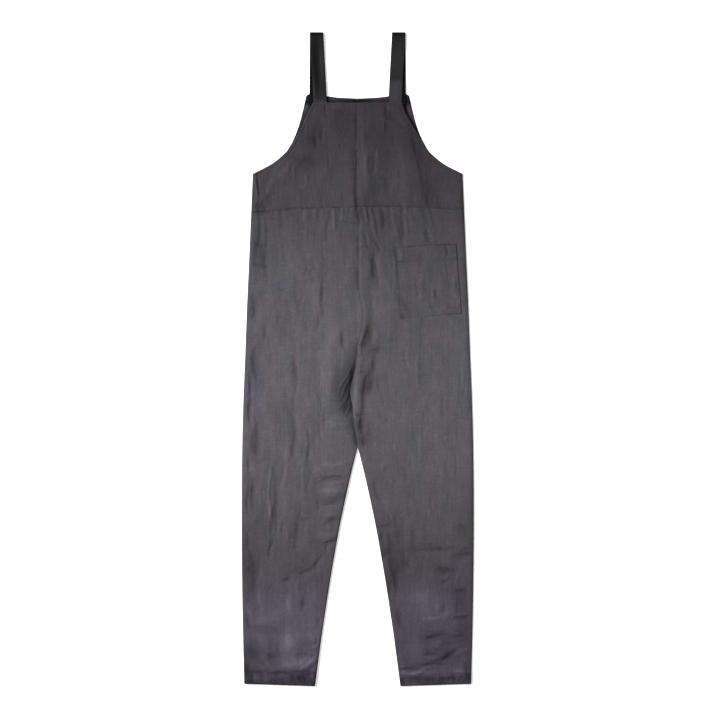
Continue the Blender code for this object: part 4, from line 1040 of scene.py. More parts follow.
pocket = {
    # inner low, outer low, outer high, inner high
    "corners": [(96.4, 809.6), (227.9, 819.1), (216.0, 971.1), (81.0, 963.8)],
    "across": 133.0,
    "down": 152.0,
    "columns": 85,
    "rows": 96,
    "hemDepth": 32.0,
    "wall": 0.8,
    "gap": 0.1,
    "edgeOut": 0.4,
    "hemExtra": 0.25,
    "hemStep": 14.0,
    "swell": (0.9, 22.0),    # height, and how far in from the edges
    "gape": (0.8, 30.0, 26.0),       # the open top stands off the leg: height, from the sides, down
    "pucker": (0.4, 8.0),
    "stitchIn": 2.4,
    "stitchGroove": (0.2, 1.3),
    "hemGroove": (0.08, 1.6),
    "pressed": (0.45, 5.0),  # along the folded lower edge
    "swellNoise": (3, 4, 3, 2, 91),       # across, from, down, from, seed
    "puckerNoise": (19, 0, 21, 0, 93),
    "pressedNoise": (9, 0, 2, 0, 95),
    "swellEven": (0.5, 0.5),              # steady share, and the share that strays
    "pressedEven": (0.75, 0.25),
    "flat": (0.136, 0.155),      # what shows; the cut has 10 mm more on three sides and a turned top
}

shadows = {        # darkening beside a line: half width, depth, then grain and seed of its unevenness
    "waist": (1.5, 0.26, 9, 801),
    "legCentre": (1.4, 0.16, 14, 802),
    "hemEdge": (1.6, 0.3),
    "backHem": (1.4, 0.3),
    "bibCentre": (1.6, 0.22, 12, 804),
    "bibTop": (1.5, 0.32),
    "bibArmhole": (1.6, 0.75),
    "backArmhole": (1.8, 0.5),
    "underArmhole": (2.4, 0.9),
    "aroundPocket": (1.8, 0.14, 10, 803),
    "besidePocket": (2.2, 0.2, 12, 807),
    "pocketStitches": (1.2, 0.08, 10, 805),
    "pocketEdge": (1.0, 0.22, 10, 805),
    "pocketHem": (1.4, 0.05, 10, 805),
    "pocketTop": (1.2, 0.4, 10, 805),
    "pocketSide": (1.8, 0.36, 9, 806),
    "strapEdge": (1.3, 0.45),
}
rimShades = {        # painted shade that fades in from an edge where the cloth falls away from the light: length, depth
    "legSide": (6.0, 0.14),
    "bibSide": (6.0, 0.12),
    "leftInseam": (2.4, 0.45),
    "rightInseam": (3.4, 0.45),
    "armhole": (4.0, 0.2),
}
paint = {        # how far and how strongly marks and shadows are drawn
    "even": (0.67, 0.33),    # a shadow's steady share of its depth, and the share that strays
    "patchReach": 2.2,       # half widths to which a patch is drawn
    "strokeReach": 2.4,
    "stroke": (0.6, 1.6),    # strength at its ends, and more in the middle
    "creaseShadeAndWear": (0.07, 0.03),    # change for each millimetre of rise on creases and on soft folds
}


def shadow(name, distance, x=None, h=None, share=1.0):
    width, depth, *rough = shadows[name]
    if rough:
        grain, seed = rough
        steady, stray = paint["even"]
        depth = depth * (steady + stray * softNoise(x / grain, h / grain, seed))
    return 1 - depth * share * hump(distance, width)


def rimShade(name, distance, share=1.0):
    length, depth = rimShades[name]
    return 1 - depth * share * np.exp(-np.abs(distance) / length)


# soft patches that change the tone, most of them painted shade and painted highlights
def paintedPatches(x, h, patches):
    column, row = toPhoto(x, h)
    change, reach = np.ones(np.shape(x)), paint["patchReach"]
    for atColumn, atRow, wide, high, amount in patches:
        near = (np.abs(column - atColumn) < reach * wide) & (np.abs(row - atRow) < reach * high)
        change[near] *= 1 + amount * hump(column[near] - atColumn, wide) * hump(row[near] - atRow, high)
    return change


def stroked(x, h):
    column, row = toPhoto(x, h)
    change = np.ones(np.shape(x))
    weak, more = paint["stroke"]
    for *ends, width, amount in marks:
        near = nearSegment(column, row, ends, paint["strokeReach"] * width)
        if near.any():
            share, offColumn, offRow = offSegment(column[near], row[near], ends)
            stroke = (weak + more * share * (1 - share)) * hump(np.hypot(offColumn, offRow), width)
            change[near] *= 1 + amount * stroke
    return change


def creaseShadeAndWear(x, h):        # painted shade darkens the creases' bottoms, and wear rubs their tops paler
    onCreases, onFolds = paint["creaseShadeAndWear"]
    return 1 + onCreases * foldRelief(x, h, creaseRows, 0) + onFolds * foldRelief(x, h, softRows)


def legShade(side, x, h):        # the two legs' brightness, blended across the centre seam
    start, width = legs["blend"]
    own = float(side == "right")
    share = np.where(h > garment["crotch"], rising(x, readCurve(centreSeam, h) + start, width), own)
    fade = rising(h, garment["crotch"], legs["blendFade"])
    share = share * fade + (1 - fade) * own
    return readCurve(legs["left"], h) * (1 - share) + readCurve(legs["right"], h) * share


hemLook = {
    "edge": {"left": 5.0, "right": -1.0},      # top of the dark band, over the stitches
    "band": (3.0, 7.0),
    # slant, across, along, height, seed
    "streaks": [(0.35, 6.5, 17, 0.30, 822), (-0.3, 3.4, 9, 0.16, 823)],
    # a painted shadow along the top of the dark band: half width, depth
    "line": (1.6, 0.2),
    "lineNoise": [(11, 7, 0.2, 824)],
    "pale": (19.0, 5.0, 36.0, 8.0),        # painted highlight on the right, above the stitches' painted shadow
    "paleness": (0.2, 0.75),
    "paleNoise": [(18, 5, 0.5, 825)],
    "violet": (0.8, 34.0, 2.0, 14.0),      # share, top, wander, softness
    "violetBase": 0.7,
    "violetNoise": [(11, 9, 0.5, 833)],
}


def hemShade(side, x, h, up):        # the turned hem: dark, streaked and uneven, with a painted shadow line along its top and, on the right, a painted highlight above it
    edge = hem["stitch"] + hemWander(x) + hemLook["edge"][side]
    over, softness = hemLook["band"]
    streak = sum(height * softNoise((x + slant * up) / across, up / along, seed)
                 for slant, across, along, height, seed in hemLook["streaks"])
    width, depth = hemLook["line"]
    line = hump(up - edge, width) * (depth + lineNoise(x, hemLook["lineNoise"]))
    tone = (1 + streak * falling(up, edge + over, softness)) * (1 - line) * paintedPatches(x, h, hemLightAndShadePatches)
    if side == "right":
        start, rise, end, fall = hemLook["pale"]
        strength, level = hemLook["paleness"]
        pale = rising(up, start, rise) * falling(up, end, fall)
        tone = tone * (1 + strength * pale * (level + lineNoise(x, hemLook["paleNoise"])))
    return tone


def clothTone(x, h):        # painted shade and painted highlights, as patches and strokes, that all the front cloth has in common
    return paintedPatches(x, h, shadeAndLightPatches) * stroked(x, h)


def legTone(side, x, h):
    tone = legShade(side, x, h) * clothTone(x, h) * creaseShadeAndWear(x, h) * shadow("waist", h - waistHeight(x), x, h)
    centre = shadow("legCentre", x - readCurve(centreSeam, h), x, h)
    tone = tone * np.where(h > garment["crotch"] - legs["shadeBelow"], centre, 1)
    up = hemHeight(side, x, h)
    tone = tone * hemShade(side, x, h, up) * shadow("hemEdge", up) * rimShade("legSide", sideX(side, h) - x)
    tone = tone * np.where(h < garment["legsPart"], rimShade(side + "Inseam", innerX(side, h, "front") - x), 1)
    if side == "right":
        corners = pocket["corners"]
        tone = tone * shadow("aroundPocket", pathDistance(x, h, corners + corners[:1]), x, h)
        tone = tone * shadow("besidePocket", pathDistance(x, h, [corners[0], corners[3]]), x, h)
    return tone


def violetShadeShare(side, x, h):        # painted shade colour in the hems, the hollow beside the lap and the deeper folds
    share, top, wander, softness = hemLook["violet"]
    hemBand = share * smoothStep((top + wander * hemWander(x) - hemHeight(side, x, h)) / softness)
    hemBand = hemBand * (hemLook["violetBase"] + ripples(x, h, hemLook["violetNoise"]))
    return np.clip(hemBand + paintedPatches(x, h, violetShadePatches[side]) - 1, 0, 1)


def frontLeg(side):
    x, h = legGrid(side, "front", legs["frontStep"])
    low = legUnder(side, x, h)
    high = low + garment["wall"] + hemExtra(hemHeight(side, x, h))
    out = legs["edgeOut"]
    piece = makeShell("frontLeg_" + side, x, h, low, high, (out, out, 0, 0), legTone(side, x, h), legLinen)
    shares = np.zeros(len(piece.data.vertices))
    shares[:x.size] = violetShadeShare(side, x, h).reshape(-1)
    giveValues(piece.data, "violet", shares)
    return finishPiece(piece, "front_leg_" + side)


def backLeg(side):
    x, h = legGrid(side, "back", legs["backStep"])
    up = hemHeight(side, x, h, "back")
    crumpled, shift = legs["backCrumple"]
    dent, width = legs["backCrease"]
    low = np.abs(crumpleRelief(x, h, shift)) * crumpled + dent * hump(up - hem["stitch"], width)
    low = low * rounded(np.abs(sideX(side, h) - x))
    out = legs["edgeOut"]
    tone = readCurve(legs[side], h) * shadow("backHem", up - hem["stitch"])
    high = garment["wall"] + hemExtra(up)
    piece = makeShell("backLeg_" + side, x, h, low, high, (out, out, 0, 0), tone, backLinen)
    return finishPiece(piece, "back_leg_" + side)


bibs = {
    "rows": 176,
    "columns": 122,
    "backRows": 90,
    "backColumns": 56,
    "sideShare": 0.3,        # of the rows, up the side seam
    "firstRow": 0.01,        # share of the first step at which a row keeps the seam's edge sharp
    "topPower": 6,           # how late the rows take the curve of the back's top edge
    "holePoints": 60,
    "edgeOut": 0.5,
    "frontFlat": (0.26, 0.27),
    "backFlat": (0.26, 0.29),
    "frontArea": 0.046,
    "backArea": 0.050,
    "blend": (-16.0, 40.0),
    "above": (1150.0, 40.0),       # the armhole's shade starts here, over this height
    "under": (1180.0, 12.0, 1250.0, 20.0),       # where the painted shadow along the right armhole lies
    "roll": [(0.35, 3.2, 2.0), (-0.35, 7.5, 1.6)],       # of the edge: height, distance in, half width
    "backCrumple": (0.4, 9),
    "underBy": 1.0,          # the shadow on the back starts this far from the front's armhole
    # Painted shade, (height, tone): the bib darker upwards as the light falls off; the back's inner face
    # darker still, with painted shadow as a black band under the front's top edge
    "left": [(1040, 0.56), (1080, 0.53), (1141, 0.45), (1218, 0.39), (1282, 0.37)],
    "right": [(1040, 0.44), (1080, 0.42), (1141, 0.40), (1218, 0.32), (1282, 0.31)],
    "back": [(1040, 0.45), (1180, 0.40), (1270, 0.30), (1283, 0.02), (1287, 0.04), (1289.5, 0.26),
             (1302, 0.26)],
}


def bibEdge(side, layer, count):        # up the side seam, then round the armhole
    hole = armholeLine(side, layer)
    endX = float(sideX(side, waistHeight(hole[0][0])))
    sideCount = round(count * bibs["sideShare"])
    start = (endX, float(waistHeight(endX)) + garment["seamSplit"])
    lower = spreadPoints([start, hole[0]], sideCount + 1)[:-1]
    edge = np.concatenate([lower, spreadPoints(hole, count - sideCount)])
    if layer == "back":
        edge = np.concatenate([edge, [(signOf(side) * x, h) for x, h in backCorner]])
    return edge


def bibGrid(side, layer, rows, columns):
    outer = bibEdge(side, layer, rows)
    share, first = crowded(columns), bibs["firstRow"]
    outer = np.concatenate([outer[:1], [(1 - first) * outer[0] + first * outer[1]], outer[1:]])
    steps = runLengths(outer)
    climb = (steps / steps[-1])[:, None]
    shift = garment["backShift"] if layer == "back" else 0
    seamX = garment["bibSeam"] + shift + signOf(side) * garment["seamSplit"]
    foot = float(waistHeight(seamX)) + garment["seamSplit"] - shift
    top = backTop[0][1] if layer == "back" else garment["bibTop"]
    seamH = foot + (top - foot) * climb
    x = seamX + (outer[:, :1] - seamX) * share
    h = seamH + (outer[:, 1:] - seamH) * share
    footX = seamX + (outer[0, 0] - seamX) * share
    straight = foot + (outer[0, 1] - foot) * share
    h = h + (1 - climb) * (waistHeight(footX) + garment["seamSplit"] - shift - straight)
    if layer == "back":
        topX = seamX + (outer[-1, 0] - seamX) * share
        straight = top + (outer[-1, 1] - top) * share
        h = h + climb ** bibs["topPower"] * (readCurve(backTop, np.abs(topX)) - straight)
    return x, h


def bibTone(side, x, h):
    start, width = bibs["blend"]
    share = rising(x, garment["bibSeam"] + start, width)
    tone = readCurve(bibs["left"], h) * (1 - share) + readCurve(bibs["right"], h) * share
    tone = tone * clothTone(x, h) * creaseShadeAndWear(x, h) * shadow("waist", h - waistHeight(x), x, h)
    tone = tone * shadow("bibCentre", x - garment["bibSeam"], x, h)
    toHole = pathDistance(x, h, armholeLine(side))
    tone = tone * rimShade("armhole", toHole, rising(h, *bibs["above"]))
    if side == "right":
        low, rise, top, fall = bibs["under"]
        tone = tone * shadow("bibArmhole", toHole, share=rising(h, low, rise) * falling(h, top, fall))
    return tone * rimShade("bibSide", sideX(side, h) - x) * shadow("bibTop", garment["bibTop"] - h)


def bibUnder(side, x, h):
    x, h = np.broadcast_arrays(np.asarray(x, float), np.asarray(h, float))
    start, over, added = garment["openFrom"]
    toSide = np.abs(sideX(side, h) - x) + added * rising(h, start, over)
    hole = spreadPoints(armholeLine(side), bibs["holePoints"])
    toHole = pathDistance(x, h, [tuple(point) for point in hole])
    opening = np.minimum(garment["bibTop"] - h, toHole)
    roll = sum(height * hump(opening - place, width) for height, place, width in bibs["roll"])
    return frontUnder(x, h, toSide, opening, seamRelief(x, h)) + roll


def frontBib(side):
    x, h = bibGrid(side, "front", bibs["rows"], bibs["columns"])
    low = bibUnder(side, x, h)
    out = bibs["edgeOut"]
    piece = makeShell("frontBib_" + side, x, h, low, low + garment["wall"], (0, out, out, 0),
                      bibTone(side, x, h), bibLinen)
    return finishPiece(piece, "front_bib_" + side)


def backBib(side):
    x, h = bibGrid(side, "back", bibs["backRows"], bibs["backColumns"])
    crumpled, shift = bibs["backCrumple"]
    low = np.abs(crumpleRelief(x, h, shift)) * crumpled
    above = rising(h, *bibs["above"])
    tone = readCurve(bibs["back"], h) * paintedPatches(x, h, backLightAndShadePatches)
    under = np.clip(pathDistance(x, h, armholeLine(side)) - bibs["underBy"], 0, None)
    tone = tone * shadow("underArmhole", under, share=above)
    tone = tone * shadow("backArmhole", pathDistance(x, h, armholeLine(side, "back")), share=above)
    out = bibs["edgeOut"]
    high = np.full(x.shape, garment["wall"])
    piece = makeShell("backBib_" + side, x, h, low, high, (0, out, out, 0), tone, backLinen)
    return finishPiece(piece, "back_bib_" + side)


pocketFolds = [(194, 967, 195, 942, 5, -1.0), (190, 932, 196, 880, 7, -1.3), (198, 880, 206, 830, 10, -1.5),
               (128, 886, 133, 858, 6, -0.8), (93, 957, 95, 934, 7, 1.2), (170, 870, 176, 854, 7, -0.7),
               (164, 872, 165, 852, 7, 0.9), (150, 930, 146, 850, 18, 0.8), (165, 834, 166, 824, 5, -0.7),
               (96, 850, 100, 812, 8, -1.3), (110, 930, 118, 880, 9, -0.7), (214, 900, 216, 850, 7, 0.8)]


def pocketPoint(u, v):        # u from the inner edge outwards, v from the bottom up
    corners = np.array(pocket["corners"])
    return tuple((corners[0, axis] * (1 - u) + corners[1, axis] * u) * (1 - v)
                 + (corners[3, axis] * (1 - u) + corners[2, axis] * u) * v for axis in (0, 1))


def pocketDistances(u, v):        # in from the sides, from the sewn edges and from the top
    toSide = np.minimum(u, 1 - u) * pocket["across"]
    return toSide, np.minimum(toSide, v * pocket["down"]), (1 - v) * pocket["down"]


def pocketNoise(name, u, v):
    across, fromU, down, fromV, seed = pocket[name]
    return softNoise(u * across + fromU, v * down + fromV, seed)


def pocketUnder(u, v):
    x, h = pocketPoint(u, v)
    toSide, toEdge, fromTop = pocketDistances(u, v)
    swell, inwards = pocket["swell"]
    gape, fromSides, down = pocket["gape"]
    pucker, puckerWidth = pocket["pucker"]
    steady, stray = pocket["swellEven"]
    stand = swell * smoothStep(toEdge / inwards) * (steady + stray * pocketNoise("swellNoise", u, v))
    stand = stand + gape * smoothStep(toSide / fromSides) * hump(fromTop, down)
    stand = stand + pucker * pocketNoise("puckerNoise", u, v) * hump(toEdge, puckerWidth)
    for name, distance in (("stitchGroove", toEdge - pocket["stitchIn"]),
                           ("hemGroove", fromTop - pocket["hemDepth"])):
        depth, width = pocket[name]
        stand = stand - depth * hump(distance, width)
    stand = stand + foldRelief(x, h, pocketFolds)
    return legTop("right", x, h) + pocket["gap"] + np.clip(stand, 0, None)


def pocketTop(u, v):
    fromTop = (1 - v) * pocket["down"]
    depth, width = pocket["pressed"]
    steady, stray = pocket["pressedEven"]
    pressed = depth * hump(v * pocket["down"], width) * (steady + stray * pocketNoise("pressedNoise", u, v))
    turned = pocket["hemExtra"] * falling(fromTop, pocket["hemDepth"], pocket["hemStep"])
    return pocketUnder(u, v) + pocket["wall"] - pressed + turned


def patchPocket():
    u, v = np.meshgrid(np.linspace(0, 1, pocket["columns"]), np.linspace(0, 1, pocket["rows"]))
    x, h = pocketPoint(u, v)
    _, toEdge, fromTop = pocketDistances(u, v)
    tone = readCurve(legs["right"], h) * clothTone(x, h)
    for name, distance in (("pocketStitches", toEdge - pocket["stitchIn"]), ("pocketEdge", toEdge),
                           ("pocketHem", fromTop - pocket["hemDepth"]), ("pocketTop", fromTop),
                           ("pocketSide", u * pocket["across"])):
        tone = tone * shadow(name, distance, x, h)
    out = (pocket["edgeOut"],) * 4
    piece = makeShell("patchPocket", x, h, pocketUnder(u, v), pocketTop(u, v), out, tone, pocketLinen)
    return finishPiece(piece, "patch_pocket")


def strapFold():        # height of the fold's middle
    return garment["length"] - straps["foldRadius"] - straps["wall"] / 2


def strapMiddle(footX, footH, h):
    return straps["topX"] + (footX - straps["topX"]) * (strapFold() - h) / (strapFold() - footH)


def strapStations(side):        # middle line, from the end on the back over the fold to the other end
    half, radius, fold = straps["wall"] / 2, straps["foldRadius"], strapFold()
    heights = np.linspace(garment["bibTop"] - straps["tail"], fold, straps["stations"])
    climb = (garment["wall"] + garment["layerGap"]) * readCurve(straps["climb"], heights)
    apart = readCurve(straps["opening"], heights)
    apart = (straps["wall"] + garment["layerGap"]) * (1 - apart) + 2 * radius * apart
    along, height, seed = straps["wave"]
    wave = lineNoise(heights, [(along, straps["waveRow"][side], height, seed)])
    ramp = straps["waveRamp"]
    wave = wave * rising(heights, straps["waveFrom"], ramp) * falling(heights, fold, ramp)
    footX, footH = straps["backX"], straps["backHeight"]
    path = [(strapMiddle(footX, footH, h), h, half + z) for h, z in zip(heights, climb)]
    for angle in np.linspace(0, math.pi, straps["turns"])[1:-1]:
        path.append((straps["topX"], fold + radius * math.sin(angle), half + radius * (1 - math.cos(angle))))
    front = list(zip(heights, climb + apart + np.abs(wave)))[::-1]
    path += [(strapMiddle(straps["frontX"], garment["bibTop"], h), h, half + z) for h, z in front]
    return np.array([(signOf(side) * x, h, z) for x, h, z in path])


def strap(side):
    path = strapStations(side)
    count = len(path)
    even = np.linspace(-1, 1, straps["acrossPoints"])
    half = straps["width"] / 2
    crowding = straps["crowding"]
    u = even * (1 + crowding - crowding * even ** 2) * half
    inwards = half - np.abs(u)
    dip, dipWidth = straps["stitchDip"]
    thick = np.clip(1 - np.clip(1 - inwards / straps["edgeRound"], 0, 1) ** 2, straps["leastThick"], 1)
    thick = straps["wall"] / 2 * np.sqrt(thick) - dip * hump(inwards - straps["stitchIn"], dipWidth)
    run = (np.concatenate([path[1:], path[-1:]]) - np.concatenate([path[:1], path[:-1]]))[:, 1:]
    run = run / np.hypot(run[:, 0], run[:, 1])[:, None]
    around = np.concatenate([np.stack([u, -thick], 1), np.stack([u[::-1], thick[::-1]], 1)])
    x = path[:, :1] + around[:, 0]
    ahead = path[:, 1:2] - run[:, 1:] * around[:, 1]
    z = path[:, 2:] + run[:, :1] * around[:, 1]
    ring = len(around)
    index = np.arange(count * ring).reshape(count, ring)
    nextRing = np.roll(index, -1, axis=1)
    sides = np.stack([index[:-1], nextRing[:-1], nextRing[1:], index[1:]], -1).reshape(-1, 4)
    caps = []
    for loop, flip in ((index[0], True), (index[-1], False)):
        for i in range(len(u) - 1):
            cell = [loop[i], loop[i + 1], loop[ring - 2 - i], loop[ring - 1 - i]]
            caps.append(cell[::-1] if flip else cell)
    near = np.arange(count)[:, None] > count / 2
    tone = readCurve(straps[side], path[:, 1])[:, None] * np.where(near, 1.0, straps["backShade"])
    tone = tone * np.where(near, paintedPatches(x, path[:, 1:2] + 0 * x, strapLightAndShadePatches[side]), 1)
    tone = tone * shadow("strapEdge", half - np.abs(around[None, :, 0]))
    vertices, faces = toWorld(x, ahead, z).reshape(-1, 3), np.concatenate([sides, caps])
    piece = meshObject("shoulderStrap_" + side, vertices, faces, tone.reshape(-1), strapLinen)
    return finishPiece(piece, "strap_" + side)


sewing = {        # lock stitches of charcoal thread
    "pitch": 3.1,
    "length": 2.35,
    "thickness": 0.42,
    "slant": 0.10,           # most turn of one stitch, in radians
    "seed": 7,
    "raised": 0.05,          # middle of the thread above the cloth
    "hemRaised": 0.34,       # more in the hems' groove, which the cloth's mesh rounds off
    "strapSunk": 0.15,
    "thread": (0.050, 0.046, 0.054),
    # painted shade: one thread made darker in step with the painted shade of each place
    "paintedShades": {"hems": 0.8, "bib": 0.75, "pocket": 1.0, "straps": 0.25},
    "slots": {"hems": "leg_linen", "bib": "bib_linen", "pocket": "leg_linen", "straps": "strap_linen"},
    "armhole": 5.5,          # lines of stitches in from their edges
    "bibTop": (7.0, 3.0, 91.0, 60),       # in from the edge, from x, to x, points
    "backTop": (6.0, 2.0, 74.0, 50),
    "anchor": (4.0, 12.0, 16),            # across a strap's end: in, half its width, points
    "clear": 3.0,            # strap stitches start this far over the bib
    "pastFold": 8,           # points of the strap past its fold that have none
    "hemEnds": 0.012,        # share of a hem left bare at each end
    "hemPoints": 110,
    "edgePoints": 130,
    "pocketPoints": (80, 70),             # up its sides, and across
    "twist": (900, 0.5),     # cells per metre, and how far they change the thread's shade
    "rough": 0.6,
    "specular": 0.2,
    "facets": (6, 4),        # of one stitch, round and along it
    "sizes": ((0.88, 0.9, 0.9), (1.08, 1.1, 1.1)),       # the least and most of one stitch
}


def makeThread(place):
    material = bpy.data.materials.new("thread_" + place)
    material.use_nodes = True
    tree = material.node_tree
    shader = tree.nodes["Principled BSDF"]
    start = Wire(tree)
    cells, change = sewing["twist"]
    twist = start.make("ShaderNodeTexCoord", {}, {}, "Object").noise((cells, cells, cells))
    shade = (1 + twist * change) * sewing["paintedShades"][place]
    inputs = {0: sewing["thread"], "Scale": shade}
    colour = start.make("ShaderNodeVectorMath", {"operation": "SCALE"}, inputs)
    tree.links.new(colour.socket, shader.inputs["Base Color"])
    shader.inputs["Roughness"].default_value = sewing["rough"]
    shader.inputs["Specular IOR Level"].default_value = sewing["specular"]
    return material


def stitchTree():
    tree = bpy.data.node_groups.new("stitches", "GeometryNodeTree")
    sockets = [("Geometry", "Geometry"), ("Pitch", "Float"), ("Length", "Float"), ("Thickness", "Float"),
               ("Slant", "Float"), ("Seed", "Int"), ("Thread", "Material")]
    for label, kind in sockets:
        tree.interface.new_socket(label, in_out="INPUT", socket_type="NodeSocket" + kind)
    tree.interface.new_socket("Geometry", in_out="OUTPUT", socket_type="NodeSocketGeometry")
    given = tree.nodes.new("NodeGroupInput")
    wires = [Wire(tree, socket) for socket in given.outputs[:len(sockets)]]
    lines, pitch, length, thickness, slant, seed, thread = wires
    curve = lines.make("GeometryNodeMeshToCurve", {}, {"Mesh": lines})
    points = curve.make("GeometryNodeCurveToPoints", {"mode": "LENGTH"}, {"Curve": curve, "Length": pitch})
    tangent = Wire(tree, points.socket.node.outputs["Tangent"])
    segments, rings = sewing["facets"]
    ball = curve.make("GeometryNodeMeshUVSphere", {}, {"Segments": segments, "Rings": rings, "Radius": 0.5})
    size = curve.make("ShaderNodeCombineXYZ", {}, {0: length, 1: thickness, 2: thickness})
    stitch = curve.make("GeometryNodeTransform", {}, {"Geometry": ball, "Scale": size})
    stitch = curve.make("GeometryNodeSetShadeSmooth", {}, {"Geometry": stitch})
    along = curve.make("FunctionNodeAlignRotationToVector", {"axis": "X"}, {"Vector": tangent})
    turn = curve.make("FunctionNodeRandomValue", {"data_type": "FLOAT"},
                      {2: 0 - slant, 3: slant, "Seed": seed}, 1)
    turn = curve.make("ShaderNodeCombineXYZ", {}, {2: turn})
    turn = curve.make("FunctionNodeEulerToRotation", {}, {"Euler": turn})
    along = curve.make("FunctionNodeRotateRotation", {"rotation_space": "LOCAL"},
                       {"Rotation": along, "Rotate By": turn})
    least, most = sewing["sizes"]
    stretch = curve.make("FunctionNodeRandomValue", {"data_type": "FLOAT_VECTOR"},
                         {0: least, 1: most, "Seed": seed + 1})
    row = curve.make("GeometryNodeInstanceOnPoints", {},
                     {"Points": points, "Instance": stitch, "Rotation": along, "Scale": stretch})
    row = curve.make("GeometryNodeRealizeInstances", {}, {"Geometry": row})
    row = curve.make("GeometryNodeSetMaterial", {}, {"Geometry": row, "Material": thread})
    result = tree.nodes.new("NodeGroupOutput")
    tree.links.new(row.socket, result.inputs[0])
    return tree


def stitchRows(place, lines, tree):        # lines: arrays of world points
    name = "stitches_" + place
    host = bpy.data.meshes.new(name + "Lines")
    edges, first = [], 0
    for line in lines:
        edges += [(first + i, first + i + 1) for i in range(len(line) - 1)]
        first += len(line)
    host.from_pydata(np.concatenate(lines).tolist(), edges, [])
    guide = addItem(name + "Guide", host)
    modifier = guide.modifiers.new("stitches", "NODES")
    modifier.node_group = tree
    values = {name.capitalize(): sewing[name] * 0.001 for name in ("pitch", "length", "thickness")}
    values.update({"Slant": sewing["slant"], "Seed": sewing["seed"], "Thread": makeThread(place)})
    for socket in tree.interface.items_tree:
        if socket.in_out == "INPUT" and socket.name in values:
            modifier[socket.identifier] = values[socket.name]
    bpy.context.view_layer.update()
    mesh = bpy.data.meshes.new_from_object(guide.evaluated_get(bpy.context.evaluated_depsgraph_get()))
    mesh.name = name
    piece = addItem(name, mesh)
    bpy.data.objects.remove(guide)
    bpy.data.meshes.remove(host)
    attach(piece, "root")
    return piece


def hemLine(side, layer):
    share = np.linspace(sewing["hemEnds"], 1 - sewing["hemEnds"], sewing["hemPoints"])
    h = hem["stitch"] + hemSlant(hem["stitch"]) * share
    inner = innerX(side, h, layer)
    return inner + (sideX(side, h) - inner) * share, h


def insetLine(points, inset, inwards):        # beside a line of points, towards the given side
    spread = spreadPoints(points, sewing["edgePoints"])
    run = np.gradient(spread, axis=0)
    run = run / np.hypot(run[:, 0], run[:, 1])[:, None]
    return spread[:, 0] - inwards * inset * run[:, 1], spread[:, 1] + inwards * inset * run[:, 0]


def bibLines(side):        # (x, h, layer) of each row of stitches on the bib
    sign = signOf(side)
    yield *insetLine(armholeLine(side)[:-1], sewing["armhole"], sign), "front"
    yield *insetLine(armholeLine(side, "back"), sewing["armhole"], sign), "back"
    inset, start, end, count = sewing["bibTop"]
    x = np.linspace(sign * start + garment["bibSeam"], sign * end, count)
    yield x, garment["bibTop"] - inset, "front"
    inset, start, end, count = sewing["backTop"]
    x = np.linspace(sign * start, sign * end, count)
    yield x, readCurve(backTop, np.abs(x)) - inset, "back"
    inset, half, count = sewing["anchor"]
    middle = sign * straps["frontX"]
    yield np.linspace(middle - half, middle + half, count), garment["bibTop"] - inset, "front"


def sewnLines():
    raised = sewing["raised"]
    lines = {place: [] for place in sewing["slots"]}
    for side in ("left", "right"):
        x, h = hemLine(side, "front")
        lines["hems"].append(toWorld(x, h, legTop(side, x, h) + sewing["hemRaised"]))
        lines["hems"].append(toWorld(*hemLine(side, "back"), raised))
        for x, h, layer in bibLines(side):
            under = bibUnder(side, x, h) if layer == "front" else 0
            lines["bib"].append(toWorld(x, h, under + garment["wall"] + raised))
        path = strapStations(side)
        near = path[len(path) // 2 + sewing["pastFold"]:]
        x, h, z = near[near[:, 1] > garment["bibTop"] + sewing["clear"]].T
        offset = straps["width"] / 2 - straps["stitchIn"]
        for edge in (-offset, offset):
            lines["straps"].append(toWorld(x + edge, h, z + straps["wall"] / 2 - sewing["strapSunk"]))
    across, down, turned = (pocket["stitchIn"] / pocket["across"], pocket["stitchIn"] / pocket["down"],
                            pocket["hemDepth"] / pocket["down"])
    high, wide = sewing["pocketPoints"]
    upwards = np.linspace(down, 1 - down, high)
    sideways = np.linspace(across, 1 - across, wide)
    for u, v in ((across, upwards), (1 - across, upwards), (sideways, down), (sideways, 1 - turned)):
        u, v = np.broadcast_arrays(u, v)
        lines["pocket"].append(toWorld(*pocketPoint(u, v), pocketTop(u, v) + raised))
    return lines


for side in ("left", "right"):
    frontLeg(side)
    backLeg(side)
    frontBib(side)
    backBib(side)
    strap(side)
patchPocket()
stitches = stitchTree()
for place, lines in sewnLines().items():
    stitchRows(place, lines, stitches)


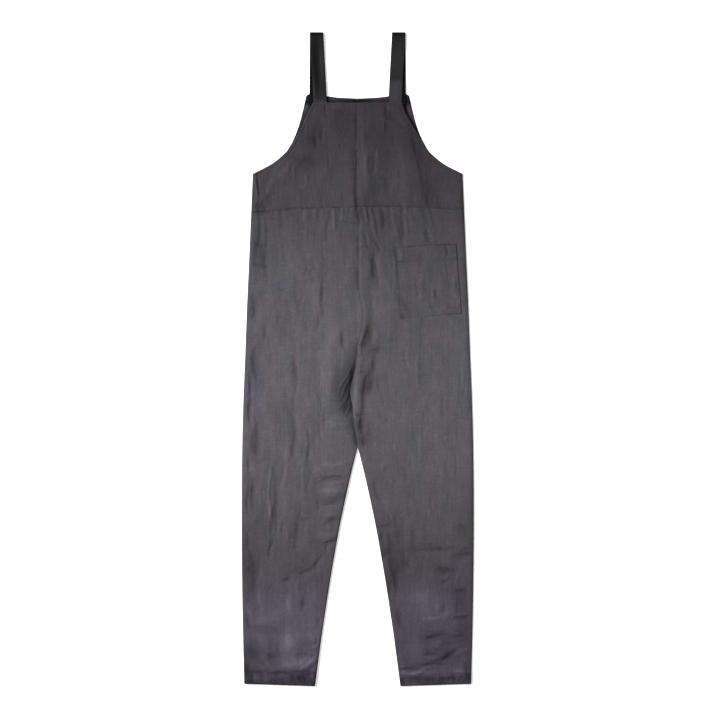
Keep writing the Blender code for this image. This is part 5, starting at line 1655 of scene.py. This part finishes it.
studio = {
    "floor": (0.93, 0.93, 0.93),
    "floorSize": 8.0,        # half its width
    "floorRoughness": 0.9,
    "floorSpecular": 0.1,
    "floorDrop": 0.0003,
    "floorGlow": 0.45,       # the pale table is lit from below as well, so shadows on it are faint
    "world": 0.30,
    "key": 6.3,
    "keyFrom": (-0.72, 0.40, 0.57),
    "keyAway": 3.0,
    "keySpread": 0.42,       # angle of the soft light, in radians
    "frameCentre": (0.00506, -0.00209),
    "frameWidth": 1.584,
    "lens": 100.0,
    "sensor": 36.0,
    "seesTo": 50.0,
}


def makeFloor():
    mesh = bpy.data.meshes.new("floor")
    far, low = studio["floorSize"], -studio["floorDrop"]
    corners = [(-far, -far, low), (far, -far, low), (far, far, low), (-far, far, low)]
    mesh.from_pydata(corners, [], [(0, 1, 2, 3)])
    material = bpy.data.materials.new("paleFloor")
    material.use_nodes = True
    looks = {"Base Color": (*studio["floor"], 1), "Roughness": studio["floorRoughness"],
             "Specular IOR Level": studio["floorSpecular"],
             "Emission Color": (1, 1, 1, 1), "Emission Strength": studio["floorGlow"]}
    for name, value in looks.items():
        material.node_tree.nodes["Principled BSDF"].inputs[name].default_value = value
    mesh.materials.append(material)
    addItem("floor", mesh)


def makeLight():
    world = bpy.data.worlds.new("studio")
    bpy.context.scene.world = world
    world.use_nodes = True
    world.node_tree.nodes["Background"].inputs["Color"].default_value = (1, 1, 1, 1)
    world.node_tree.nodes["Background"].inputs["Strength"].default_value = studio["world"]
    lamp = bpy.data.lights.new("key", "SUN")
    lamp.energy = studio["key"]
    lamp.angle = studio["keySpread"]
    item = addItem("key", lamp)
    item.location = Vector(studio["keyFrom"]) * studio["keyAway"]
    item.rotation_euler = (-Vector(studio["keyFrom"])).to_track_quat("-Z", "Y").to_euler()


def makeCamera():
    lens = bpy.data.cameras.new("camera")
    lens.lens = studio["lens"]
    lens.sensor_width = studio["sensor"]
    lens.clip_end = studio["seesTo"]
    camera = addItem("camera", lens)
    camera.location = (*studio["frameCentre"], studio["frameWidth"] * studio["lens"] / studio["sensor"])
    bpy.context.scene.camera = camera


makeFloor()
makeLight()
makeCamera()
bpy.context.scene.view_settings.view_transform = "Standard"
print("floor, light and camera made")
